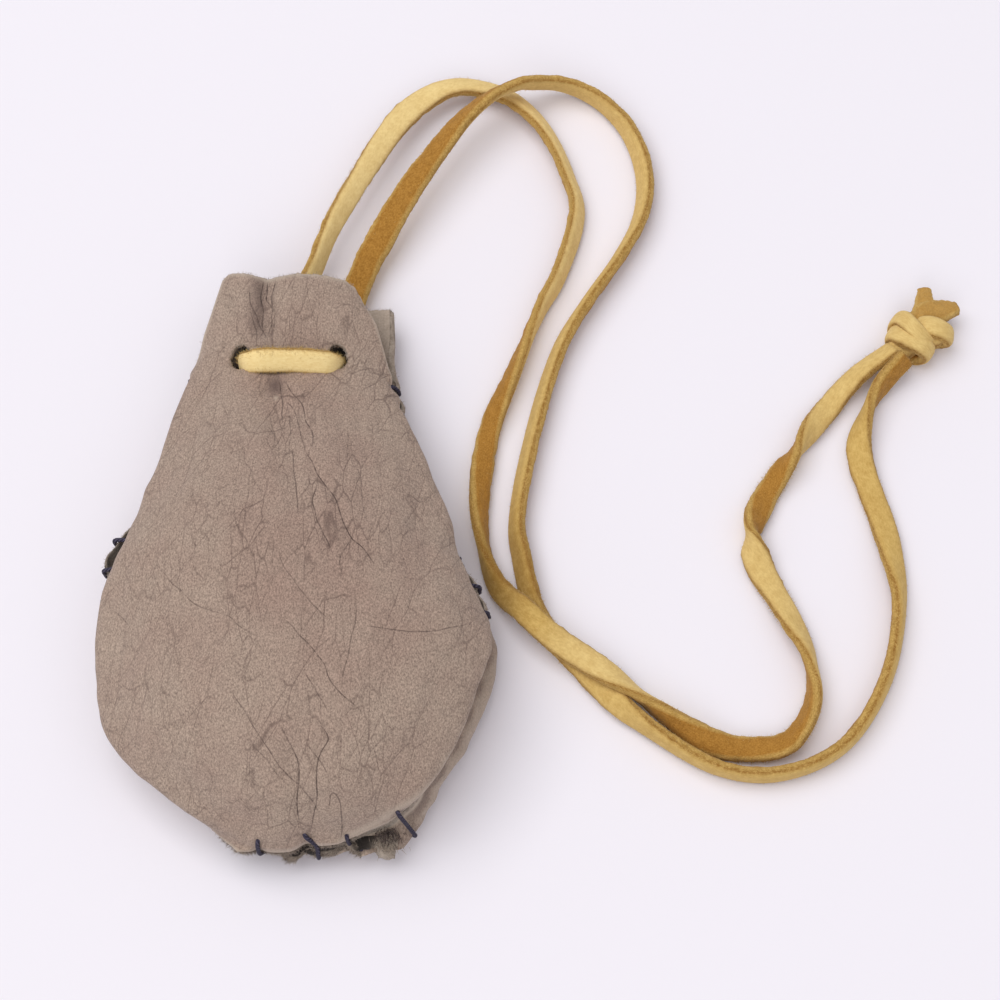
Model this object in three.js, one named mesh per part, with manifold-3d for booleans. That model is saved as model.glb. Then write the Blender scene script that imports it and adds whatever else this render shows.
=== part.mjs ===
import * as THREE from 'three';
import { mergeVertices } from 'three/addons/utils/BufferGeometryUtils.js';
import Module from 'manifold-3d';

// Medicine bag lying on its back: a pear-shaped pouch of two sewn leather panels, closed at the
// neck by a flat lace that runs on as a long knotted loop. Millimetres, +Y towards the mouth, +Z up.

// Leather panels
const leather = 1.5;
const seamGap = 0.3;
const edgeLip = 1.5;
const edgeInset = 0.6;
const chinFrontY = -51.0;
const chinBackY = -51.5;
const mouthFrontY = 50.5;
const mouthBackY = 48.0;
const rowCount = 26;
const columnCount = 20;
const chinCrowding = 1.35;

// Mouth edge of the front flap: it slants down to the right, with rounded corners and a pleat notch
const mouthSlant = 1.6;
const mouthCornerDrop = 1.2;
const mouthCornerShare = 0.16;
const mouthBlendLength = 9;

// Lace and its slots in the neck
const laceWidth = 4.2;
const laceThickness = 1.8;
const laceBevel = 0.45;
const slotY = 35.3;
const slotLeftX = -11.3;
const slotRightX = 6.1;
const slotHalfWidth = 1.9;
const slotHalfLength = 2.9;
const slotSides = 12;
const bridgeY = 35.2;
const bridgeTopZ = 16.4;
const bridgeFootZ = 3.7;
const bridgeBend = 2.0;
const bridgeSteps = 40;
const strandSteps = 40;

// Knot that joins the two strands, with the lace's two cut ends
const knotCentre = new THREE.Vector3(109.3, 43.8, 3.7);
const knotRadii = new THREE.Vector3(5.6, 4.4, 3.6);
const knotTurn = THREE.MathUtils.degToRad(38);
const tailUpEnd = new THREE.Vector3(110.8, 53.4, 3.4);
const tailSideEnd = new THREE.Vector3(116.6, 49.8, 3.4);
const tailSteps = 3;
const knotGap = 0.3;

// Sections from chin to mouth, shared by both panels up to where the side seams end.
// leftX, leftZ, rightX and rightZ place the seam; frontRise is the dome above it and frontPower its
// profile, from 2 for a shallow arch to 1 for a full round; rest is the height of the back panel's
// underside, backBulge how far it swells past the right seam; frontLift, backDrop and backShift
// part the two flaps of the neck.
const sectionColumns = ['y', 'leftX', 'leftZ', 'rightX', 'rightZ', 'frontRise', 'frontPower',
  'rest', 'backBulge', 'frontLift', 'backDrop', 'backShift'];
const sectionRows = [
  [-52.0, -6.5, 5.0, 7.5, 6.0, 0.0, 2.0, 4.0, 0.0, 0.0, 0.0, 0.0],
  [-50.5, -8.8, 4.8, 10.0, 6.7, 3.0, 1.8, 2.8, 3.2, 0.0, 0.0, 0.0],
  [-49.0, -11.2, 4.6, 13.0, 7.5, 5.5, 1.6, 1.8, 4.4, 0.0, 0.0, 0.0],
  [-47.0, -14.4, 4.5, 17.6, 8.5, 8.0, 1.4, 0.8, 4.0, 0.0, 0.0, 0.0],
  [-44.0, -18.2, 4.5, 22.0, 9.7, 10.5, 1.2, 0.0, 2.0, 0.0, 0.0, 0.0],
  [-36.0, -27.2, 4.5, 26.8, 11.0, 13.5, 1.0, 0.0, 1.2, 0.0, 0.0, 0.0],
  [-27.0, -31.6, 4.5, 30.3, 11.4, 15.0, 1.0, 0.0, 1.8, 0.0, 0.0, 0.0],
  [-17.0, -32.6, 5.0, 32.6, 11.0, 15.0, 1.0, 0.0, 0.4, 0.0, 0.0, 0.0],
  [-8.0, -31.8, 7.0, 30.4, 10.2, 14.4, 1.0, 0.0, 0.0, 0.0, 0.0, 0.0],
  [0.0, -29.4, 8.8, 26.8, 9.6, 13.4, 1.0, 0.0, 0.0, 0.0, 0.0, 0.0],
  [12.0, -24.3, 9.2, 22.9, 9.2, 10.6, 1.05, 0.4, 0.0, 0.0, 0.0, 0.0],
  [22.0, -23.1, 8.8, 19.5, 8.8, 7.6, 1.15, 2.2, 0.0, 0.0, 0.0, 0.3],
  [32.0, -21.2, 8.4, 15.6, 8.4, 4.8, 1.3, 4.2, 0.0, 0.3, 0.3, 1.3],
  [37.0, -19.1, 8.4, 14.1, 8.4, 4.0, 1.5, 4.4, 0.0, 0.8, 0.8, 1.6],
  [42.0, -17.6, 8.4, 12.6, 8.4, 3.5, 1.6, 4.4, 0.0, 1.5, 1.5, 3.0],
  [51.0, -14.9, 8.4, 9.3, 8.4, 3.0, 1.6, 4.4, 0.0, 2.0, 2.0, 5.6],
];

// Side rolls of the back panel: how far in from each seam the leather meets the ground
const backReachLeft = 6;
const backReachRight = 7;
const backRollShare = 0.32;
const backRollPower = 1.4;
const backChinLength = 7;

// The back panel's lower right corner hangs lower than the rest of the chin
const cornerFrom = 0.6;
const cornerBlend = 0.15;
const cornerTopY = -44;
const cornerLength = 4;
const cornerSag = 0.8;
const cornerChinLength = 2.6;

// Main folds of the front panel: from, to, depth and half width of each furrow
const foldColumns = ['fromX', 'fromY', 'toX', 'toY', 'depth', 'width'];
const frontFolds = [
  [-7.2, 54.0, -3.6, 22.0, 0.6, 2.6],
  [-7.2, 54.0, -6.8, 40.0, 0.8, 1.7],
  [-3.6, 22.0, 3.0, -8.0, 0.4, 2.4],
  [5.0, -20.0, 0.6, -50.0, 0.5, 2.4],
  [-4.0, -28.0, 4.0, -50.0, 0.3, 2.4],
  [slotLeftX, bridgeY, slotRightX, bridgeY, 0.8, 2.4],
];

// Routes of the two strands from the back slots to the knot; lift is the clear height under the lace
const routeColumns = ['x', 'y', 'lift'];
const leftRoute = [
  [-10.9, 33.0, 1.6],
  [-7.6, 41.0, 1.6],
  [-3.4, 49.0, 1.6],
  [0.0, 56.8, 2.6],
  [3.1, 64.8, 4.2],
  [7.0, 72.9, 5.0],
  [15.8, 89.5, 4.2],
  [20.9, 94.8, 3.4],
  [25.8, 97.3, 2.4],
  [31.1, 97.4, 1.0],
  [35.6, 95.9, 0.4],
  [43.8, 85.9, 0.2],
  [48.3, 71.1, 0.2],
  [44.7, 57.1, 0.2],
  [39.1, 44.3, 0.2],
  [33.0, 28.8, 0.2],
  [30.6, 14.6, 0.2],
  [30.6, 8.2, 0.6],
  [33.4, -2.7, 2.3],
  [39.9, -9.7, 2.8],
  [47.6, -15.4, 2.7],
  [51.3, -17.9, 2.3],
  [57.6, -22.3, 0.6],
  [63.7, -27.4, 0.2],
  [69.7, -31.0, 0.2],
  [76.0, -32.0, 0.2],
  [81.0, -31.6, 0.2],
  [84.4, -29.0, 0.2],
  [86.6, -23.6, 0.2],
  [86.2, -16.5, 0.2],
  [79.8, -2.0, 0.2],
  [77.7, 5.6, 0.2],
  [79.6, 12.1, 0.2],
  [86.3, 22.1, 0.2],
  [93.8, 32.7, 0.3],
  [97.5, 36.7, 0.8],
  [101.5, 40.3, 1.8],
  [105.4, 44.0, 2.6],
];
const rightRoute = [
  [6.0, 33.0, 1.6],
  [6.0, 41.0, 1.6],
  [6.8, 49.0, 1.8],
  [9.4, 57.8, 2.8],
  [12.6, 64.0, 4.0],
  [15.8, 70.1, 5.0],
  [23.0, 81.7, 5.6],
  [28.0, 88.5, 5.6],
  [33.7, 93.7, 5.2],
  [39.7, 96.7, 4.0],
  [45.4, 97.9, 2.4],
  [51.5, 96.0, 1.0],
  [56.9, 90.5, 0.3],
  [61.0, 76.5, 0.2],
  [59.7, 68.7, 0.2],
  [55.7, 60.7, 0.2],
  [44.9, 42.4, 0.2],
  [39.2, 22.0, 0.2],
  [37.0, 7.4, 0.2],
  [38.7, -4.1, 0.2],
  [43.8, -15.1, 0.2],
  [47.2, -20.2, 0.2],
  [56.8, -28.1, 0.2],
  [62.7, -32.7, 0.2],
  [69.1, -36.0, 0.2],
  [77.8, -37.3, 0.2],
  [86.4, -35.0, 0.2],
  [92.8, -30.4, 0.2],
  [97.2, -23.7, 0.2],
  [101.3, -13.2, 0.2],
  [102.2, -6.1, 0.2],
  [100.3, 9.3, 0.2],
  [97.5, 20.0, 0.2],
  [97.4, 24.4, 0.2],
  [100.9, 33.0, 0.8],
  [104.8, 36.4, 1.8],
  [108.6, 40.4, 2.6],
];

const colours = {
  panel: 0x9e8c7e,
  lace: 0xd9b76a,
};

const wasm = await Module();
wasm.setup();

function lerp(a, b, share) {
  return a + (b - a) * share;
}

function smooth(share) {
  const s = Math.min(1, Math.max(0, share));
  return s * s * (3 - 2 * s);
}

// Cubic through a table's rows, so the outline has no corners between stations
function sampleTable(rows, column, y) {
  let k = 0;
  while (k < rows.length - 2 && y > rows[k + 1][0]) {
    k += 1;
  }
  const at = (i) => rows[Math.min(rows.length - 1, Math.max(0, i))];
  const slope = (i) => {
    const span = at(i + 1)[0] - at(i - 1)[0];
    return span === 0 ? 0 : (at(i + 1)[column] - at(i - 1)[column]) / span;
  };
  const step = rows[k + 1][0] - rows[k][0];
  const u = Math.min(1, Math.max(0, (y - rows[k][0]) / step));
  const h = smooth(u);
  const bendIn = u * (1 - u) * (1 - u) * step * slope(k);
  const bendOut = u * u * (u - 1) * step * slope(k + 1);
  return lerp(rows[k][column], rows[k + 1][column], h) + bendIn + bendOut;
}

function sectionAt(y) {
  const values = sectionColumns.map((name, column) => [name, sampleTable(sectionRows, column, y)]);
  return Object.fromEntries(values);
}

function foldDepth(x, y) {
  let depth = 0;
  for (const row of frontFolds) {
    const fold = Object.fromEntries(foldColumns.map((name, column) => [name, row[column]]));
    const dx = fold.toX - fold.fromX;
    const dy = fold.toY - fold.fromY;
    const along = ((x - fold.fromX) * dx + (y - fold.fromY) * dy) / (dx * dx + dy * dy);
    const share = Math.min(1, Math.max(0, along));
    const off = Math.hypot(x - fold.fromX - share * dx, y - fold.fromY - share * dy);
    depth += fold.depth * Math.exp(-((off / fold.width) ** 2));
  }
  return depth;
}

function stationY(row, chinY, mouthY) {
  return lerp(chinY, mouthY, (row / rowCount) ** chinCrowding);
}

function frontPoint(row, column) {
  const y = stationY(row, chinFrontY, mouthFrontY);
  const angle = Math.PI * (column / columnCount);
  const across = 0.5 - 0.5 * Math.cos(angle);
  const section = sectionAt(y);
  const rise = row === 0 ? 0 : Math.max(0, section.frontRise) * Math.sin(angle) ** section.frontPower;
  const x = lerp(section.leftX, section.rightX, across);
  const line = lerp(section.leftZ, section.rightZ, across) + edgeLip + section.frontLift;
  const nearMouth = smooth((y - mouthFrontY + mouthBlendLength) / mouthBlendLength);
  const corner = Math.max(0, Math.abs(2 * across - 1) - 1 + 2 * mouthCornerShare) / (2 * mouthCornerShare);
  const slant = mouthSlant * (0.5 - across) * 2 - mouthCornerDrop * corner ** 2;
  const furrow = foldDepth(x, y) * Math.min(1, rise / 2);
  return new THREE.Vector3(x, y + nearMouth * slant, line + rise - furrow);
}

function backPoint(row, column) {
  const y = stationY(row, chinBackY, mouthBackY);
  const share = column / columnCount;
  const section = sectionAt(y);
  const leftX = section.leftX + section.backShift;
  const rightX = section.rightX + section.backShift;
  const leftRoll = 1 - Math.min(1, share / backRollShare);
  const rightRoll = 1 - Math.min(1, (1 - share) / backRollShare);
  const inner = (share - backRollShare) / (1 - 2 * backRollShare);
  const innerShare = Math.min(1, Math.max(0, inner));
  let x = lerp(leftX + backReachLeft, rightX - backReachRight, innerShare);
  x -= backReachLeft * (1 - (1 - leftRoll) ** 2) * Math.sign(leftRoll);
  x += backReachRight * (1 - (1 - rightRoll) ** 2) * Math.sign(rightRoll);
  x += section.backBulge * 4 * rightRoll * (1 - rightRoll);
  const across = (x - leftX) / (rightX - leftX);
  const line = lerp(section.leftZ, section.rightZ, Math.min(1, Math.max(0, across)));
  const edge = line - edgeLip - section.backDrop;
  const corner = smooth((across - cornerFrom) / cornerBlend);
  const rest = section.rest * (1 - cornerSag * corner * smooth((cornerTopY - y) / cornerLength));
  const roll = Math.max(leftRoll, rightRoll) ** backRollPower;
  const lying = lerp(rest, edge, roll);
  const chin = smooth((y - chinBackY) / lerp(backChinLength, cornerChinLength, corner));
  return new THREE.Vector3(x, y, Math.max(0, lerp(edge, lying, chin)));
}

// Wall of a panel: its grain side, a flesh side one leather thickness in, and the cut edges between.
// Along the sewn edges the flesh side closes on the seam, so the two panels meet with a small gap.
function panelGeometry(pointAt, side) {
  const stride = columnCount + 1;
  const last = rowCount;
  const grain = [];
  for (let row = 0; row <= last; row += 1) {
    for (let column = 0; column <= columnCount; column += 1) {
      grain.push(pointAt(row, column));
    }
  }
  const pick = (row, column) => grain[row * stride + column];
  const flesh = grain.map((point, index) => {
    const row = Math.floor(index / stride);
    const column = index % stride;
    const along = pick(Math.min(last, row + 1), column).clone().sub(pick(Math.max(0, row - 1), column));
    const over = pick(row, Math.min(columnCount, column + 1)).clone();
    over.sub(pick(row, Math.max(0, column - 1)));
    const inward = along.cross(over).normalize().multiplyScalar(leather * side);
    const offset = point.clone().add(inward);
    const sideEdge = column === 0 || column === columnCount;
    if (row === last || (row > 0 && !sideEdge)) {
      return offset;
    }
    const section = sectionAt(point.y);
    const parting = side > 0 ? section.frontLift : section.backDrop;
    const towards = column === 0 ? edgeInset : column === columnCount ? -edgeInset : 0;
    const sewn = new THREE.Vector3(point.x + towards, point.y + (row === 0 ? edgeInset : 0),
      point.z - side * (edgeLip - seamGap / 2));
    return sewn.lerp(offset, Math.min(1, parting));
  });
  const positions = [];
  for (const point of grain.concat(flesh)) {
    positions.push(point.x, point.y, point.z);
  }
  const index = [];
  const deep = grain.length;
  const quad = (a, b, c, d) => {
    if (side > 0) {
      index.push(a, b, c, a, c, d);
    } else {
      index.push(a, c, b, a, d, c);
    }
  };
  for (let row = 0; row < last; row += 1) {
    for (let column = 0; column < columnCount; column += 1) {
      const a = row * stride + column;
      quad(a, a + 1, a + stride + 1, a + stride);
      quad(deep + a, deep + a + stride, deep + a + stride + 1, deep + a + 1);
    }
    const left = row * stride;
    const right = left + columnCount;
    quad(left, left + stride, deep + left + stride, deep + left);
    quad(right, deep + right, deep + right + stride, right + stride);
  }
  for (let column = 0; column < columnCount; column += 1) {
    const top = last * stride + column;
    quad(column, deep + column, deep + column + 1, column + 1);
    quad(top, top + 1, deep + top + 1, deep + top);
  }
  const geometry = new THREE.BufferGeometry();
  geometry.setAttribute('position', new THREE.Float32BufferAttribute(positions, 3));
  geometry.setIndex(index);
  return geometry;
}

function toSolid(geometry) {
  const plain = geometry.clone();
  plain.deleteAttribute('normal');
  plain.deleteAttribute('uv');
  const welded = mergeVertices(plain, 1e-3);
  return new wasm.Manifold(new wasm.Mesh({
    numProp: 3,
    vertProperties: new Float32Array(welded.attributes.position.array),
    triVerts: new Uint32Array(welded.index.array),
  }));
}

function toGeometry(solid) {
  const mesh = solid.getMesh();
  const geometry = new THREE.BufferGeometry();
  geometry.setAttribute('position', new THREE.Float32BufferAttribute(mesh.vertProperties, 3));
  geometry.setIndex(Array.from(mesh.triVerts));
  geometry.computeVertexNormals();
  return geometry;
}

function slotGeometry(x) {
  const outline = new THREE.Shape();
  for (let k = 0; k < slotSides; k += 1) {
    const angle = (2 * Math.PI * (k + 0.5)) / slotSides;
    const px = x + slotHalfWidth * Math.cos(angle);
    const py = slotY + slotHalfLength * Math.sin(angle);
    if (k === 0) {
      outline.moveTo(px, py);
    } else {
      outline.lineTo(px, py);
    }
  }
  outline.closePath();
  return new THREE.ExtrudeGeometry(outline, { depth: bridgeTopZ + leather, bevelEnabled: false });
}

function slottedPanel(geometry) {
  let panel = toSolid(geometry);
  for (const x of [slotLeftX, slotRightX]) {
    panel = panel.subtract(toSolid(slotGeometry(x)));
  }
  return toGeometry(panel);
}

// Flat section of the lace with bevelled corners; its first axis is across or through the lace
function laceSection(first, second) {
  const outline = new THREE.Shape();
  const a = first / 2;
  const b = second / 2;
  const corners = [[a, b - laceBevel], [a - laceBevel, b], [laceBevel - a, b], [-a, b - laceBevel],
    [-a, laceBevel - b], [laceBevel - a, -b], [a - laceBevel, -b], [a, laceBevel - b]];
  outline.moveTo(...corners[0]);
  corners.slice(1).forEach((corner) => outline.lineTo(...corner));
  outline.closePath();
  return outline;
}

function bridgeGeometry() {
  const at = (x, z) => new THREE.Vector3(x, bridgeY, z);
  const path = new THREE.CurvePath();
  path.add(new THREE.LineCurve3(at(slotLeftX, bridgeFootZ), at(slotLeftX, bridgeTopZ - bridgeBend)));
  path.add(new THREE.QuadraticBezierCurve3(at(slotLeftX, bridgeTopZ - bridgeBend),
    at(slotLeftX, bridgeTopZ), at(slotLeftX + bridgeBend, bridgeTopZ)));
  path.add(new THREE.LineCurve3(at(slotLeftX + bridgeBend, bridgeTopZ),
    at(slotRightX - bridgeBend, bridgeTopZ)));
  path.add(new THREE.QuadraticBezierCurve3(at(slotRightX - bridgeBend, bridgeTopZ),
    at(slotRightX, bridgeTopZ), at(slotRightX, bridgeTopZ - bridgeBend)));
  path.add(new THREE.LineCurve3(at(slotRightX, bridgeTopZ - bridgeBend), at(slotRightX, bridgeFootZ)));
  return new THREE.ExtrudeGeometry(laceSection(laceWidth, laceThickness),
    { steps: bridgeSteps, extrudePath: path, bevelEnabled: false });
}

// Route whose sections stay level with the ground, so the lace lies flat all the way along
class LevelRoute extends THREE.CatmullRomCurve3 {
  computeFrenetFrames(segments) {
    const up = new THREE.Vector3(0, 0, 1);
    const frames = { tangents: [], normals: [], binormals: [] };
    for (let k = 0; k <= segments; k += 1) {
      const tangent = this.getTangentAt(k / segments);
      const binormal = new THREE.Vector3().crossVectors(tangent, up).normalize();
      frames.tangents.push(tangent);
      frames.normals.push(new THREE.Vector3().crossVectors(binormal, tangent));
      frames.binormals.push(binormal);
    }
    return frames;
  }
}

function strandGeometry(route) {
  const [x, y, lift] = routeColumns.map((name, column) => column);
  const points = route.map((row) => new THREE.Vector3(row[x], row[y], row[lift] + laceThickness / 2));
  const path = new LevelRoute(points, false, 'centripetal');
  const strand = new THREE.ExtrudeGeometry(laceSection(laceThickness, laceWidth),
    { steps: strandSteps, extrudePath: path, bevelEnabled: false });
  return toGeometry(toSolid(strand).subtract(knotLump(knotGap)));
}

// Tightened body of the knot; grown by a gap, it trims the strands where they run in
function knotLump(grown) {
  const lump = new THREE.SphereGeometry(1, 14, 10);
  lump.scale(knotRadii.x + grown, knotRadii.y + grown, knotRadii.z + grown);
  lump.rotateZ(knotTurn);
  lump.translate(knotCentre.x, knotCentre.y, knotCentre.z);
  return toSolid(lump);
}

function knotGeometry() {
  let knot = knotLump(0);
  for (const end of [tailUpEnd, tailSideEnd]) {
    const path = new THREE.LineCurve3(knotCentre, end);
    const tail = new THREE.ExtrudeGeometry(laceSection(laceThickness, laceWidth),
      { steps: tailSteps, extrudePath: path, bevelEnabled: false });
    knot = knot.add(toSolid(tail));
  }
  return toGeometry(knot);
}

function piece(name, geometry, colour) {
  const material = new THREE.MeshStandardMaterial({ color: colour, roughness: 0.9, metalness: 0 });
  const mesh = new THREE.Mesh(geometry, material);
  mesh.name = name;
  return mesh;
}

const bag = new THREE.Group();
bag.name = 'medicine_bag';
bag.add(piece('front_panel', slottedPanel(panelGeometry(frontPoint, 1)), colours.panel));
bag.add(piece('back_panel', slottedPanel(panelGeometry(backPoint, -1)), colours.panel));
bag.add(piece('thong_bridge', bridgeGeometry(), colours.lace));
bag.add(piece('thong_left', strandGeometry(leftRoute), colours.lace));
bag.add(piece('thong_right', strandGeometry(rightRoute), colours.lace));
bag.add(piece('knot', knotGeometry(), colours.lace));

export default bag;
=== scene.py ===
import math

import bpy
import numpy as np
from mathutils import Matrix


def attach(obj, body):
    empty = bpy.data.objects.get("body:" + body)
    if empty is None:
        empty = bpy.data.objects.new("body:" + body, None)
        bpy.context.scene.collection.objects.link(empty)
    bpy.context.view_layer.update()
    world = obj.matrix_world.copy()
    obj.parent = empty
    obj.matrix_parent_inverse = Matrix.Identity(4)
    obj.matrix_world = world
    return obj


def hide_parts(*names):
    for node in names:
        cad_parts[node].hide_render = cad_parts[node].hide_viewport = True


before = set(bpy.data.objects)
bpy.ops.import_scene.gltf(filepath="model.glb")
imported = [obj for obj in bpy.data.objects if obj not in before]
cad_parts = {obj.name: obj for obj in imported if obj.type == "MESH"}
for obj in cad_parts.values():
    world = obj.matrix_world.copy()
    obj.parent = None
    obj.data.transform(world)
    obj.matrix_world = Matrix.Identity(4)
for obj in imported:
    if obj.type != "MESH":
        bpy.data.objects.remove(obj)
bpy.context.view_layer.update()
mm = 0.001
floorClear = 0.02  # nothing comes closer to the floor than this, in millimetres
farOff = 9.0  # stands for no crease near by
print("frame loaded:", sorted(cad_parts))

scene = bpy.context.scene
scene.view_settings.view_transform = "Standard"


def smooth(t):
    t = np.clip(t, 0, 1)
    return t * t * (3 - 2 * t)


def unit(v):
    return v / np.maximum(np.linalg.norm(v, axis=-1, keepdims=True), 1e-9)


def bell(value, centre, half):
    return np.exp(-(((value - centre) / half) ** 2))


# eases from nought to one above the start
def rising(value, start, blend):
    return smooth((value - start) / blend)


# eases from nought to one below the start
def falling(value, start, blend):
    return smooth((start - value) / blend)


# a soft round patch round the given x and y
def patch(x, y, amount, atX, wide, atY, tall):
    return amount * bell(x, atX, wide) * bell(y, atY, tall)


def keepAbove(points, height=floorClear):
    points[:, 2] = np.maximum(points[:, 2], height)


# a value that eases from one given place to the next
def between(at, pairs):
    places, values = np.array(pairs, float).T
    k = np.clip(np.searchsorted(places, at) - 1, 0, len(places) - 2)
    t = smooth((at - places[k]) / (places[k + 1] - places[k]))
    return values[k] + (values[k + 1] - values[k]) * t


# gentle unevenness of about one unit, pitch in millimetres
def ripple(points, pitch, seed, waves=14):
    rng = np.random.default_rng(seed)
    total = np.zeros(len(points))
    for _ in range(waves):
        way = rng.normal(size=3)
        way *= 2 * math.pi / (np.linalg.norm(way) * pitch * rng.uniform(0.7, 1.5))
        total += np.sin(points @ way + rng.uniform(0, 2 * math.pi))
    return total / math.sqrt(waves / 2)


# a smooth line through the given points, sampled at an even step; extra columns ride along
def smoothLine(points, step):
    p = np.asarray(points, float)
    p = np.vstack([2 * p[0] - p[1], p, 2 * p[-1] - p[-2]])
    gaps = np.linalg.norm(np.diff(p[:, :3], axis=0), axis=1)
    knots = np.concatenate([[0], np.cumsum(gaps ** 0.5)])
    fine = []
    for k in range(1, len(p) - 2):
        t0, t1, t2, t3 = knots[k - 1:k + 3]
        t = np.linspace(t1, t2, 40, endpoint=False)[:, None]
        a1 = p[k - 1] + (p[k] - p[k - 1]) * (t - t0) / (t1 - t0)
        a2 = p[k] + (p[k + 1] - p[k]) * (t - t1) / (t2 - t1)
        a3 = p[k + 1] + (p[k + 2] - p[k + 1]) * (t - t2) / (t3 - t2)
        b1 = a1 + (a2 - a1) * (t - t0) / (t2 - t0)
        b2 = a2 + (a3 - a2) * (t - t1) / (t3 - t1)
        fine.append(b1 + (b2 - b1) * (t - t1) / (t2 - t1))
    fine = np.vstack(fine + [p[-2:-1]])
    arc = lengthsAlong(fine[:, :3])
    even = np.linspace(0, arc[-1], max(3, int(round(arc[-1] / step)) + 1))
    return np.stack([np.interp(even, arc, fine[:, c]) for c in range(fine.shape[1])], axis=1)


def lengthsAlong(line):
    return np.concatenate([[0], np.cumsum(np.linalg.norm(np.diff(line, axis=0), axis=1))])


# points in millimetres; marks are per-point values that the materials read
def addPiece(name, points, faces, material, marks=None):
    mesh = bpy.data.meshes.new(name)
    mesh.from_pydata((points * mm).tolist(), [], [f for part in faces for f in part.tolist()])
    for key, values in (marks or {}).items():
        isVector = values.ndim == 2
        layer = mesh.attributes.new(key, "FLOAT_VECTOR" if isVector else "FLOAT", "POINT")
        layer.data.foreach_set("vector" if isVector else "value", values.astype(np.float32).ravel())
    mesh.polygons.foreach_set("use_smooth", np.ones(len(mesh.polygons), bool))
    mesh.materials.append(material)
    mesh.update()
    piece = bpy.data.objects.new(name, mesh)
    scene.collection.objects.link(piece)
    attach(piece, "root")
    print(name, "triangles", sum(len(p.vertices) - 2 for p in mesh.polygons))
    return piece


# faces of a tube made of rings of points; if it is open, the middles of its two ends come last
def tubeFaces(count, sides, closed=False):
    index = np.arange(count * sides).reshape(count, sides)
    lower, upper = (index, np.roll(index, -1, axis=0)) if closed else (index[:-1], index[1:])
    quads = np.stack([lower, np.roll(lower, -1, axis=1), np.roll(upper, -1, axis=1), upper], axis=-1)
    if closed:
        return [quads.reshape(-1, 4)]
    first, last, middle = index[0], index[-1], np.full(sides, count * sides)
    return [quads.reshape(-1, 4), np.stack([np.roll(first, -1), first, middle], axis=1),
            np.stack([last, np.roll(last, -1), middle + 1], axis=1)]


def joinParts(parts):
    points, faces, marks, start = [], [], {}, 0
    for p, f, m in parts:
        points.append(p)
        faces += [part + start for part in f]
        for key in m:
            marks.setdefault(key, []).append(m[key])
        start += len(p)
    return np.vstack(points), faces, {key: np.concatenate(values) for key, values in marks.items()}


cameraView = {
    "target": (34.1, 13.6, 0.0),
    "distance": 395.0,
    "elevation": 66.0,
    "lens": 81.19,
}


def addCamera():
    lean = math.radians(cameraView["elevation"])
    back = np.array([0, -math.cos(lean), math.sin(lean)])
    data = bpy.data.cameras.new("photoCamera")
    data.lens = cameraView["lens"]
    data.sensor_width = 36.0
    data.clip_start, data.clip_end = 0.01, 20.0
    camera = bpy.data.objects.new("photoCamera", data)
    camera.location = (np.array(cameraView["target"]) + back * cameraView["distance"]) * mm
    camera.rotation_euler = (math.radians(90) - lean, 0, 0)
    scene.collection.objects.link(camera)
    scene.camera = camera
    print("camera placed")


addCamera()


# each input takes either the output of another node or a plain value
def putNode(tree, kind, inputs=None, **settings):
    node = tree.nodes.new(kind)
    for key, value in settings.items():
        setattr(node, key, value)
    for key, value in (inputs or {}).items():
        if hasattr(value, "is_output"):
            tree.links.new(value, node.inputs[key])
        else:
            node.inputs[key].default_value = value
    return node


def mathNode(tree, operation, *values, clamp=False):
    inputs = dict(enumerate(values))
    return putNode(tree, "ShaderNodeMath", inputs, operation=operation, use_clamp=clamp).outputs[0]


def vectorNode(tree, operation, vector, other):
    second = "Scale" if operation == "SCALE" else 1
    inputs = {0: vector, second: other}
    return putNode(tree, "ShaderNodeVectorMath", inputs, operation=operation).outputs[0]


def times(tree, *values):
    total = values[0]
    for value in values[1:]:
        total = mathNode(tree, "MULTIPLY", total, value)
    return total


def rangeNode(tree, value, low, high, toLow=0.0, toHigh=1.0):
    node = putNode(tree, "ShaderNodeMapRange", {
        "Value": value, "From Min": low, "From Max": high, "To Min": toLow, "To Max": toHigh,
    }, interpolation_type="SMOOTHSTEP")
    return node.outputs["Result"]


def mixColour(tree, share, a, b, blend="MIX"):
    inputs = {0: share, 6: a, 7: b}  # the node keeps its colours in sockets 6 and 7
    return putNode(tree, "ShaderNodeMix", inputs, data_type="RGBA", blend_type=blend).outputs[2]


def noise(tree, vector, scale, detail, roughness=0.5):
    return putNode(tree, "ShaderNodeTexNoise",
                   {"Vector": vector, "Scale": scale, "Detail": detail, "Roughness": roughness}).outputs


def colour(red, green, blue):
    def linear(c):
        c /= 255
        return c / 12.92 if c <= 0.04045 else ((c + 0.055) / 1.055) ** 2.4
    return (linear(red), linear(green), linear(blue), 1.0)


def startGroup(name, inputs, outputs):
    tree = bpy.data.node_groups.new(name, "ShaderNodeTree")
    tree.interface.new_socket(name="Vector", in_out="INPUT", socket_type="NodeSocketVector")
    for key, value in inputs:
        socket = tree.interface.new_socket(name=key, in_out="INPUT", socket_type="NodeSocketFloat")
        socket.default_value = value
    for key in outputs:
        tree.interface.new_socket(name=key, in_out="OUTPUT", socket_type="NodeSocketFloat")
    return tree, tree.nodes.new("NodeGroupInput").outputs, tree.nodes.new("NodeGroupOutput").inputs


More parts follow.
